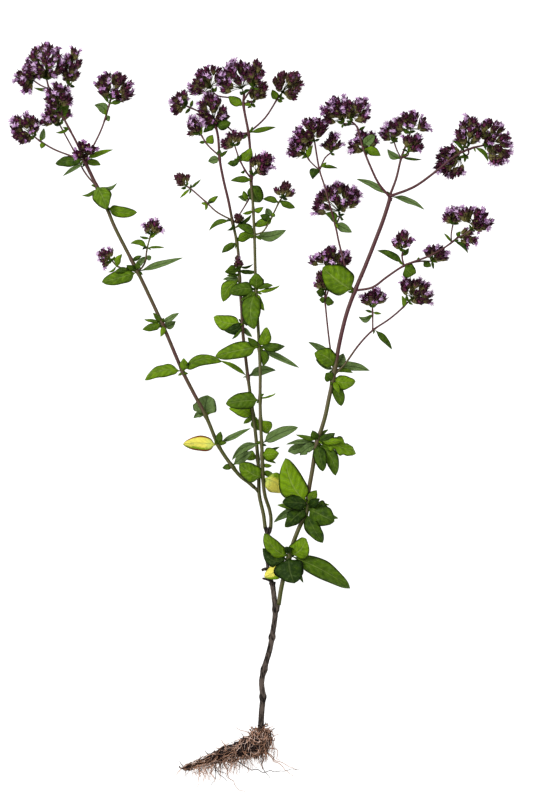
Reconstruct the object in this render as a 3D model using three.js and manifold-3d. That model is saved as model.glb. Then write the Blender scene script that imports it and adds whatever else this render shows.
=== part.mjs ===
// A whole oregano plant in flower, pulled up with its roots and laid on its side on a flat surface.
// A creeping rootstock bears one woody stem that forks into four leafy stems. Each leafy stem has opposite
// pairs of leaves, side branches in the leaf axils, and a flower head at the end of every branch.
// Millimetres. The plant lies in the XY plane with its roots towards -Y; +Z is up and the surface is z = 0.
// The origin is on the surface, under the middle of the plant.

import * as THREE from "three";
import { mergeVertices } from "three/addons/utils/BufferGeometryUtils.js";
import Module from "manifold-3d";

const wasm = await Module();
wasm.setup();

// ---- Driving dimensions -------------------------------------------------------------------------------------

const WELD_DISTANCE = 1e-4; // corners of a unit shape that are closer than this are one corner
const GAP = 0.6; // between a flower head and the branch that bears it
const GROUND_BLOCK = [600, 800, 60]; // a block larger than the plant, whose top is the surface

const STEM_SIDES = 4; // an oregano stem is four-angled
const STEM_STEP = 20; // length of one straight stretch of a main stem
const BRANCH_SIDES = 3;
const BRANCH_STEP = 12;
const WOOD_SIDES = 5;
const WOOD_STEP = 14;

const MIDRIB_THICKNESS = 1.2; // of a leaf, which thins towards its edges
const BLADE_ARCH = 0.07; // how far a blade bows, as a share of its length
const WIDE_LEAF = 9; // a leaf this wide has a fuller outline
const SHORT_LEAF = 18; // a leaf shorter than this has a simpler one

const HEAD_FLATTENING = 0.82; // a head lying on its side is a little thinner than it is wide
const HEAD_CENTRE = 0.42; // how far up a head its bracts spread from, as a share of its height
const CORE_SIZE = 0.66; // the core that the bracts stand on, as a share of the head
const BRACT_SPREAD = 0.34; // how much the bracts of a head differ in length, as a share of it
const SMALL_HEAD = 10; // a head that reaches less far than this has fewer bracts
const SMALL_HEAD_FACES = [5, 4]; // round a head and along it, each with a bract
const LARGE_HEAD_FACES = [7, 5];
const COROLLA_SHARE = 0.18; // of the upper bracts
const COROLLA_LENGTH = 4.6;
const COROLLA_DEPTH = 2.2; // how deep a corolla is sunk in its bract
const WAIST_RADIUS = 0.7;
const MOUTH_RADIUS = 1.7;

const RHIZOME_SIDES = 7;
const RHIZOME_STEPS = 10;
const RHIZOME_SEED = 7;
const KNOBBLINESS = 0.3; // how much the rhizome's radius varies, as a share of it
const ROOTLET_SIDES = 3;
const ROOTLET_RADII = [0.8, 0.6];
const ROOTLET_STEP = 14;

// ---- The plant's layout -------------------------------------------------------------------------------------
// A line is a stem or a branch: its radii at the start and at the end, the points that it runs through, and
// its head, if it has one: [name, heading and climb in degrees, reach sideways, height].
// A leaf is [x, y of its foot, x, y, z of its tip, width, turn, sweep]. It turns about its length, in degrees,
// and sweeps to its left by that share of its length.

const WOODY_BASE = {
  lines: [
    {
      radii: [2.4, 2.1],
      through: [
        [2, -246, 11], [2.5, -236, 12], [3.5, -224, 12], [2.5, -212, 12], [5, -200, 12], [9, -186, 12],
        [11.5, -172, 12], [13.5, -156, 12], [12.5, -144, 12], [11, -132, 12],
      ],
    },
    {
      radii: [1.3, 1.5],
      through: [[11, -134, 12], [8.5, -125, 11.5], [6.8, -114, 11], [6.8, -101, 11], [7.6, -92, 11]],
    },
    { radii: [1.5, 1.45], through: [[7.3, -95, 11], [6.6, -91, 11], [5.4, -88, 11]] },
    { radii: [1.4, 1.45], through: [[7.5, -95, 11], [8.6, -91, 11.5], [9.6, -88, 12]] },
    { radii: [1.8, 1.65], through: [[12.8, -158, 12], [15, -152.5, 12.6], [16.2, -149, 13]] },
    { radii: [1.3, 0.7], through: [[9.5, -131, 12], [6, -129.5, 13], [3, -129, 13]] },
    { radii: [1.3, 0.8], through: [[8, -122, 11.5], [5, -121.5, 13], [2.5, -122.5, 13]] },
  ],
};

const INNER_STEM = {
  lines: [
    {
      radii: [1.65, 1.03],
      through: [
        [5.2, -87.4, 11], [4, -78, 11], [0.6, -62.4, 11], [0.2, -50, 11], [-0.2, -38, 11],
        [-1.7, -19.6, 10.5], [-4, 0.4, 10], [-6.5, 17.6, 10], [-8.5, 32.4, 10], [-10.5, 49.2, 10],
        [-12.6, 68.4, 10], [-13.7, 88.8, 10.5], [-15.1, 108.4, 11], [-15.7, 125.4, 12], [-17.2, 139.6, 13],
        [-21, 157.6, 15], [-24, 173.2, 17], [-28, 190, 19], [-31, 206.2, 21.5], [-32.2, 223.6, 23],
        [-34.2, 233.4, 24.5],
      ],
      head: ["inner_head_top", 106, 12, 12, 26.4],
    },
    {
      radii: [0.7, 0.6],
      through: [
        [-21, 158, 15], [-33.4, 164.6, 15], [-41, 171.6, 14], [-54.2, 183.2, 12], [-57.6, 185.5, 11],
      ],
      head: ["inner_head_low_side", 134, 5, 6.4, 11.6],
    },
    {
      radii: [0.7, 0.6],
      through: [[-31.5, 209, 23], [-40.8, 218, 20], [-46.8, 227.8, 16]],
      head: ["inner_head_side", 131, 0, 9, 13.4],
    },
    {
      radii: [0.7, 0.6],
      through: [[-34, 229, 25.5], [-40, 239.4, 14], [-48.8, 245.8, 11], [-58, 250, 10]],
      head: ["inner_head_far_side", 149, 0, 10.8, 12.6],
    },
    {
      radii: [0.7, 0.6],
      through: [[-20, 152, 14], [-17, 152.6, 18], [-15, 155, 20.5]],
      head: ["inner_head_middle", 118, 25, 5.7, 9],
    },
    { radii: [0.6, 0.6], through: [[-20.5, 155, 14.5], [-12, 167.8, 13], [-7, 176.4, 12]] },
    {
      radii: [0.7, 0.6],
      through: [[-16, 116, 11.5], [-17.4, 119, 15], [-16.7, 119.6, 18]],
      head: ["inner_head_low", 92, 30, 4.4, 10.8],
    },
    { radii: [1.4, 1.3], through: [[0.3, -60.5, 11], [-1.8, -57.5, 11.3], [-4, -55.5, 11.8]] },
  ],
  leaves: [
    [-1, -33, -10.7, -34.1, 3, 7.9, 10, -0.23], [-4, 0, -23.9, 7.4, 3, 10.2, 8, -0.09],
    [-4, 1, -12.2, -5.2, 4, 3.9, 0, 0], [-4.2, 0, 0.8, -10.5, 5, 8.2, 0, -0.02],
    [-8.5, 32, -31.8, 45.7, 5, 4, 15, -0.04], [-8.5, 32, 14, 37.9, 4, 7.5, 178, 0.12],
    [-14, 76, -36.2, 80.7, 6, 12.9, 5, 0.12], [-14, 76, -27.2, 69.2, 14, 8.6, -10, 0.16],
    [-13.7, 73, -21.3, 62.5, 13, 3.4, 30, 0.06], [-13.5, 73, -5, 64.7, 7, 4.2, 178, -0.06],
    [-14, 77, -6.8, 79.2, 13, 5.7, 0, -0.25], [-15.8, 110, -28.6, 92.8, 12, 10.8, 0, -0.14],
    [-15.8, 111, -28.8, 111.1, 6, 5.2, 190, -0.04], [-16, 113, -25.8, 113.4, 12, 3.4, 20, -0.1],
    [-16.2, 118, -27.1, 116.4, 20, 7.5, -8, -0.09], [-16.2, 118, -1.2, 116.9, 8, 3.8, 15, -0.04],
    [-16.4, 121, -4.4, 123.2, 11, 2.3, 30, -0.13], [-18, 140, -29.6, 132.1, 9, 5.4, 0, -0.03],
    [-18, 141, -3.8, 148, 14, 7.5, 0, 0.04], [-20.8, 157, -39.9, 149.6, 9, 4.2, 0, -0.16],
    [-20.5, 155, -25.5, 149.7, 20, 2.5, 0, 0.23], [-14, 152, -4.6, 152.7, 15, 3.1, 10, 0.1],
    [-14, 153, -5.6, 162.6, 17, 3.2, 0, -0.1], [-41, 172, -32.2, 177.4, 17, 4.2, 0, -0.04],
    [-41, 172, -46, 171.9, 13, 2.5, 0, 0.07], [-42, 173, -42.7, 165.9, 12, 2.5, 0, 0.1],
    [-54, 184.5, -46, 191, 14, 2.2, 20, 0], [-54, 184.5, -63, 176, 10, 2.5, 20, 0.02],
    [-10, 173, -16.8, 176.8, 14, 4, 180, -0.2], [-9.5, 175, -12, 181.8, 14, 4.8, 0, 0.09],
    [-31, 207, -40.4, 204.8, 20, 6.5, 178, -0.01], [-31, 208, -24.4, 213.1, 26, 2.9, 0, -0.01],
    [-31.3, 208, -30.6, 213.4, 28, 4.2, 180, 0.05], [-40.5, 220.5, -36.4, 225.8, 23, 6.9, 0, -0.11],
    [-41, 221, -47.5, 220.2, 19, 2.6, 0, 0.02], [-45.4, 225.3, -45, 234, 19, 2.5, 0, 0.08],
    [-34.7, 233, -21.8, 234.9, 30, 8.8, 0, -0.04], [-34.7, 233, -44.1, 227.3, 27, 5.5, 0, -0.08],
    [-54, 249.5, -52.7, 254.6, 11, 2.7, 0, 0.03], [-54, 249.5, -59, 243.9, 9, 2.6, 0, 0.02],
  ],
};

const LEFT_STEM = {
  lines: [
    {
      radii: [1.6, 1.5],
      through: [
        [-4.5, -55.1, 12], [-8, -52, 12], [-14.6, -47, 12.5], [-21, -39.2, 13], [-31.4, -23.8, 14],
        [-42, 0.8, 15], [-52.4, 20.4, 15.5], [-60.8, 37, 16], [-76.8, 74.4, 17], [-90, 102.8, 17.5],
        [-96.6, 116.4, 18], [-115.8, 154, 18], [-121.6, 168.4, 18], [-129.2, 184.4, 18],
        [-140.2, 207.4, 18],
      ],
    },
    {
      radii: [1, 0.7],
      through: [
        [-138.5, 206, 18], [-144.8, 218.4, 18], [-156.2, 240.4, 17], [-160.6, 253, 16], [-167.8, 264, 16],
        [-169.5, 270.5, 16],
      ],
      head: ["left_head_top", 94, 0, 16, 28.5],
    },
    {
      radii: [0.6, 0.6],
      through: [[-166.5, 263, 16], [-175.2, 266.6, 13], [-180.4, 270.2, 12]],
      head: ["left_head_outer_top", 176, 0, 11.4, 14.2],
    },
    {
      radii: [0.6, 0.6],
      through: [[-159, 249, 16.5], [-157, 261, 12], [-152.5, 266.5, 7.6]],
      head: ["left_head_top_right", 83, 0, 8.2, 29],
    },
    {
      radii: [0.6, 0.6],
      through: [[-156, 242, 17], [-158, 246.5, 23], [-159.2, 246.6, 27]],
      head: ["left_head_inner", 96, 22, 12.4, 22],
    },
    {
      radii: [0.75, 0.6],
      through: [[-130, 184, 18], [-139.2, 196.4, 12], [-147.4, 212.4, 9.5], [-159.5, 234.7, 8.3]],
      head: ["left_head_low", 122, 2, 12.8, 17.6],
    },
    {
      radii: [0.8, 0.65],
      through: [
        [-138.5, 206, 18], [-152.4, 210.2, 17], [-164.2, 215, 15], [-176.2, 222.3, 14], [-179.5, 225, 14],
      ],
      head: ["left_head_outer", 142, 0, 13.3, 21.8],
    },
    {
      radii: [0.8, 0.65],
      through: [
        [-138.5, 206, 18], [-132.6, 216.6, 18], [-125.8, 230.6, 17], [-121.5, 243.4, 16],
        [-118.2, 255.3, 15],
      ],
      head: ["left_head_right", 72, 0, 16.1, 20.8],
    },
    {
      radii: [0.7, 0.6],
      through: [[-138.5, 205, 18], [-136.4, 206, 22], [-137, 207.6, 25]],
      head: ["left_head_fork", 108, 55, 10, 16.6],
    },
    {
      radii: [0.8, 0.6],
      through: [[-97, 116, 18], [-91.2, 123.2, 17], [-89.2, 135.4, 16], [-86.3, 146.3, 15]],
      head: ["left_head_branch", 87, 0, 9.2, 12.2],
    },
    {
      radii: [0.7, 0.6],
      through: [[-97, 116, 18], [-103.6, 118.6, 20], [-112.2, 120.4, 20], [-117, 125.2, 19]],
      head: ["left_head_small", 151, 0, 6.7, 11.8],
    },
  ],
  leaves: [
    [-21, -40, -29.2, -40.5, 10, 5, 0, -0.05], [-21, -39, -5.2, -27.4, 23, 8.2, 165, 0.06],
    [-32, -22, -60.8, -21.6, 9, 11.9, 5, -0.04], [-31.5, -21, -6, -8.5, 19, 5.2, 160, 0.04],
    [-32, -21, -30, -11.1, 21, 6.6, 0, 0], [-32, -21, -25.2, -20.2, 20, 3.5, 0, 0.04],
    [-42.5, 1, -41.1, 18, 4, 18.4, 180, 0.06], [-43, 2, -52.2, -0.6, 13, 5.1, 160, -0.17],
    [-60, 37, -91.2, 29.8, 14, 10.6, 18, -0.11], [-60, 37, -29.1, 44.7, 19, 9.5, -22, 0.12],
    [-60.5, 38, -59.7, 47.5, 23, 7.5, 0, -0.1], [-60.5, 38, -55.1, 44.4, 21, 4.2, 10, 0.04],
    [-76.5, 75, -93, 70.4, 19, 6.8, 15, 0.04], [-77, 76, -91.7, 78.5, 13, 3.6, 30, 0.02],
    [-77, 76, -63.4, 83.7, 20, 5, 165, 0], [-76, 74, -66.4, 77.2, 11, 6.5, 170, -0.14],
    [-76, 74, -78.4, 64.5, 21, 4.2, 0, 0.11], [-77.5, 77, -84.5, 83.7, 22, 4.5, 20, 0.02],
    [-97, 116, -125.3, 108.3, 20, 11.8, 0, 0.03], [-97, 116, -59.8, 127.9, 20, 6, 165, 0.04],
    [-98, 118, -105.4, 121.7, 25, 5.1, 0, 0.03], [-99, 120, -90.7, 128.5, 24, 5.2, 180, -0.02],
    [-98.5, 119, -95.4, 124, 27, 5.2, 0, -0.06], [-101, 125, -93.2, 129.3, 21, 3.8, 20, 0.05],
    [-122, 168, -97, 163.9, 21, 9.1, 15, -0.05], [-130, 184, -119.9, 166.4, 30, 15.5, 0, 0.04],
    [-130, 183, -141.4, 177.7, 17, 3.9, 25, 0.19], [-130, 184, -113, 187.6, 20, 4.2, 165, -0.18],
    [-138.5, 206, -163.1, 203.7, 10, 9, 5, -0.02], [-138, 204, -156.6, 193, 19, 3.5, 160, -0.01],
    [-138.5, 206, -115.8, 214, 23, 4.5, 15, 0.06], [-138, 204, -126.4, 202.3, 13, 5.6, 10, 0.12],
    [-104, 117, -115.3, 116, 24, 5, 0, -0.04], [-112, 121, -108.8, 130.7, 22, 5.5, 10, 0.19],
    [-113, 122, -121.1, 116.4, 17, 2.2, 20, 0.18], [-90, 136, -102.8, 139.4, 14, 4.9, 0, -0.18],
    [-90, 136, -75.2, 136.1, 14, 2.2, 20, 0.06], [-91, 127, -85.7, 128.9, 20, 4.5, 180, -0.03],
    [-88.8, 144, -95.5, 145.1, 15, 2.2, 0, 0.05], [-88.8, 144, -81.7, 148, 14, 2.6, 0, 0],
    [-174.5, 221, -171.8, 231.7, 15, 4.8, 180, -0.02], [-174, 220.5, -173.9, 215.2, 16, 4.5, 0, 0.18],
    [-124, 242, -131.5, 250.2, 17, 8, 180, -0.26], [-125, 239, -118.8, 241, 19, 5, 180, -0.04],
    [-121, 251, -129.8, 261.9, 13, 2.9, 0, -0.11], [-120.5, 252, -108.4, 257.1, 14, 4.2, 0, -0.14],
    [-167, 264, -179.8, 263.8, 20, 3, 10, 0.12], [-151.5, 231, -162.5, 228, 16, 3.1, 20, 0.1],
    [-156, 241, -151.2, 250.9, 17, 5.8, 0, 0.12],
  ],
};

const MIDDLE_STEM = {
  lines: [
    {
      radii: [1.55, 1.05],
      through: [
        [9.8, -87.3, 12.1], [10, -81, 13], [8.8, -73.8, 14], [5.3, -63, 17], [3.6, -50, 20],
        [3, -30.4, 23], [2, -10.4, 24], [1.3, 14.2, 24], [1.4, 35.8, 24], [0.5, 57.4, 24], [-1, 85, 25],
        [-2.2, 104.4, 25], [-2.7, 124.6, 25], [-3.3, 146.8, 25], [-4.5, 170.8, 25], [-5.9, 189, 25],
        [-6.6, 212.8, 25], [-8, 227.4, 25], [-12, 250, 24], [-11.5, 258.4, 22],
      ],
      head: ["middle_head_top", 116, 0, 14.5, 27],
    },
    {
      radii: [0.75, 0.6],
      through: [
        [-3.3, 146, 25], [3, 147.8, 25], [8.8, 156.6, 24], [12.8, 164.6, 22], [16.8, 173, 18],
        [18.8, 175.7, 16],
      ],
      head: ["middle_head_small_right", 75, 0, 6.9, 12.5],
    },
    {
      radii: [0.75, 0.6],
      through: [[-5.6, 191, 25], [-9.8, 195.8, 27], [-15.2, 206, 29.5], [-18.8, 216.2, 31.5]],
      head: ["middle_head_small_left", 117, 0, 9.9, 11.6],
    },
    {
      radii: [0.8, 0.7],
      through: [[-5.5, 188, 25], [-5, 190.5, 28.5], [-4.4, 193.4, 31]],
      head: ["middle_head_centre", 50, 8, 9.3, 19.8],
    },
    {
      radii: [0.8, 0.65],
      through: [[-8, 227, 25], [5.4, 239.8, 19], [15, 255.2, 13.5], [16.2, 256.9, 12.5]],
      head: ["middle_head_outer_right", 55, 2, 12.1, 23.2],
    },
    {
      radii: [0.75, 0.6],
      through: [[-8, 227, 25], [-17.6, 227.2, 24], [-24.7, 232.7, 19], [-27.1, 237.8, 14]],
      head: ["middle_head_inner_left", 102, 0, 4.8, 8.6],
    },
    {
      radii: [0.7, 0.6],
      through: [[-12, 250, 24], [-21.2, 255.8, 14], [-33.4, 258.2, 12], [-36.6, 261.3, 13.1]],
      head: ["middle_head_left", 122, 4, 16.7, 19.2],
    },
    {
      radii: [0.7, 0.6],
      through: [[-12, 250, 24], [-6, 252.8, 22], [-5.5, 252, 15]],
      head: ["middle_head_right", 58, 3, 8, 19],
    },
    {
      radii: [0.7, 0.6],
      through: [[-12.5, 253, 24], [-7.6, 259, 31], [-4.5, 262.5, 35.2]],
      head: ["middle_head_crown", 84, 6, 7.3, 22.5],
    },
  ],
  leaves: [
    [3.8, -48, -15.5, -37.3, 25, 15.1, -8, 0.04], [3.8, -48, 22.4, -59, 12, 16, 0, 0.06],
    [3.6, -43, 12.5, -46.1, 17, 4.9, 0, -0.04], [2.6, -21, 31.7, -7.8, 25, 9, 165, 0.08],
    [2.6, -21, -21.2, -34, 26, 6.8, 165, -0.12], [3, -29, 17.2, -23.4, 20, 3.1, 20, 0.04],
    [3, -30, 16.5, -28.3, 26, 11.2, 0, 0], [3, -32, 14.2, -36.7, 24, 3.4, 0, 0.04],
    [3.3, -38, 10.8, -38.7, 19, 3.5, 0, -0.02], [2, -2, 7.6, -13.1, 17, 10, 0, 0.1],
    [1.3, 14, -26.2, 10.9, 27, 13.8, -5, -0.04], [1.3, 16, 13.8, 19.8, 26, 2.9, 60, -0.04],
    [0.6, 56, -34.5, 48.8, 27, 13, 5, -0.03], [0.5, 57, -8.6, 63.9, 31, 5.6, 0, 0.06],
    [0.5, 57, 6.9, 71.9, 33, 9.5, 0, -0.1], [0.5, 57, 21.2, 56.9, 29, 8, 0, -0.04],
    [0.6, 55, 32.6, 39.7, 21, 5.4, 168, 0.02], [0.6, 55, 3.7, 40.7, 20, 7.4, 0, 0.19],
    [-3, 103, -1.9, 115.1, 34, 12.2, 0, -0.02], [-2.8, 102, -23.1, 99.4, 28, 11.6, 0, -0.1],
    [-2.7, 100, -3.5, 70.2, 31, 16.1, 0, -0.11], [-2.7, 100, 4.8, 85.3, 21, 6.1, 0, -0.06],
    [-3, 103, 11.7, 105.5, 29, 5, 20, 0.08], [-2.8, 101, 17.1, 105.7, 22, 4.5, 40, -0.04],
    [-2.8, 101, -14.2, 93, 25, 6.2, 0, 0], [-3.3, 145, 22.2, 149.9, 20, 8.5, 170, -0.08],
    [-3.4, 146, -17.3, 153, 29, 6.6, 0, -0.09], [9, 159, -4.2, 153.2, 22, 6.8, 0, 0.04],
    [9, 159, 1.2, 161.5, 28, 5.5, 0, 0.02], [10, 161, 6.1, 166.8, 28, 5.8, 180, 0.07],
    [10, 161, 13.3, 162.4, 25, 3.8, 0, 0.08], [15.5, 172, 3.3, 174.8, 19, 5.2, 0, -0.11],
    [16, 173, 29.4, 167.8, 14, 5.6, 0, 0], [-4.2, 165, 4.1, 167.7, 29, 4.6, 0, -0.11],
    [-4.2, 165, -12.8, 162.4, 29, 2.9, 0, 0.06], [-5.5, 187, 1.1, 172.2, 15, 12.5, 0, -0.04],
    [-5.5, 189, -22.3, 188.9, 27, 5.3, 10, -0.04], [-9.5, 198, -14.4, 195.7, 25, 2.2, 0, 0.18],
    [-13.5, 205, -24.9, 202.8, 25, 5.2, 10, 0.09], [-13.5, 205, -5.7, 214.6, 32, 9.1, 0, -0.14],
    [-14, 206, -16.9, 208.4, 31, 3.5, 0, 0.06], [-8, 227, 14.1, 232, 23, 4.1, 0, 0],
    [-8, 226, -17.4, 224.4, 25, 4, 170, 0.1], [14, 254.5, 11, 262.4, 18, 5.9, 0, -0.01],
    [14.5, 255, 19.5, 253.4, 12, 3, 0, -0.06], [-12, 250, -24, 256.8, 21, 7.8, 0, 0.08],
    [-12, 249, -5.3, 246.5, 27, 3.2, 0, 0.28],
  ],
};

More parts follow.
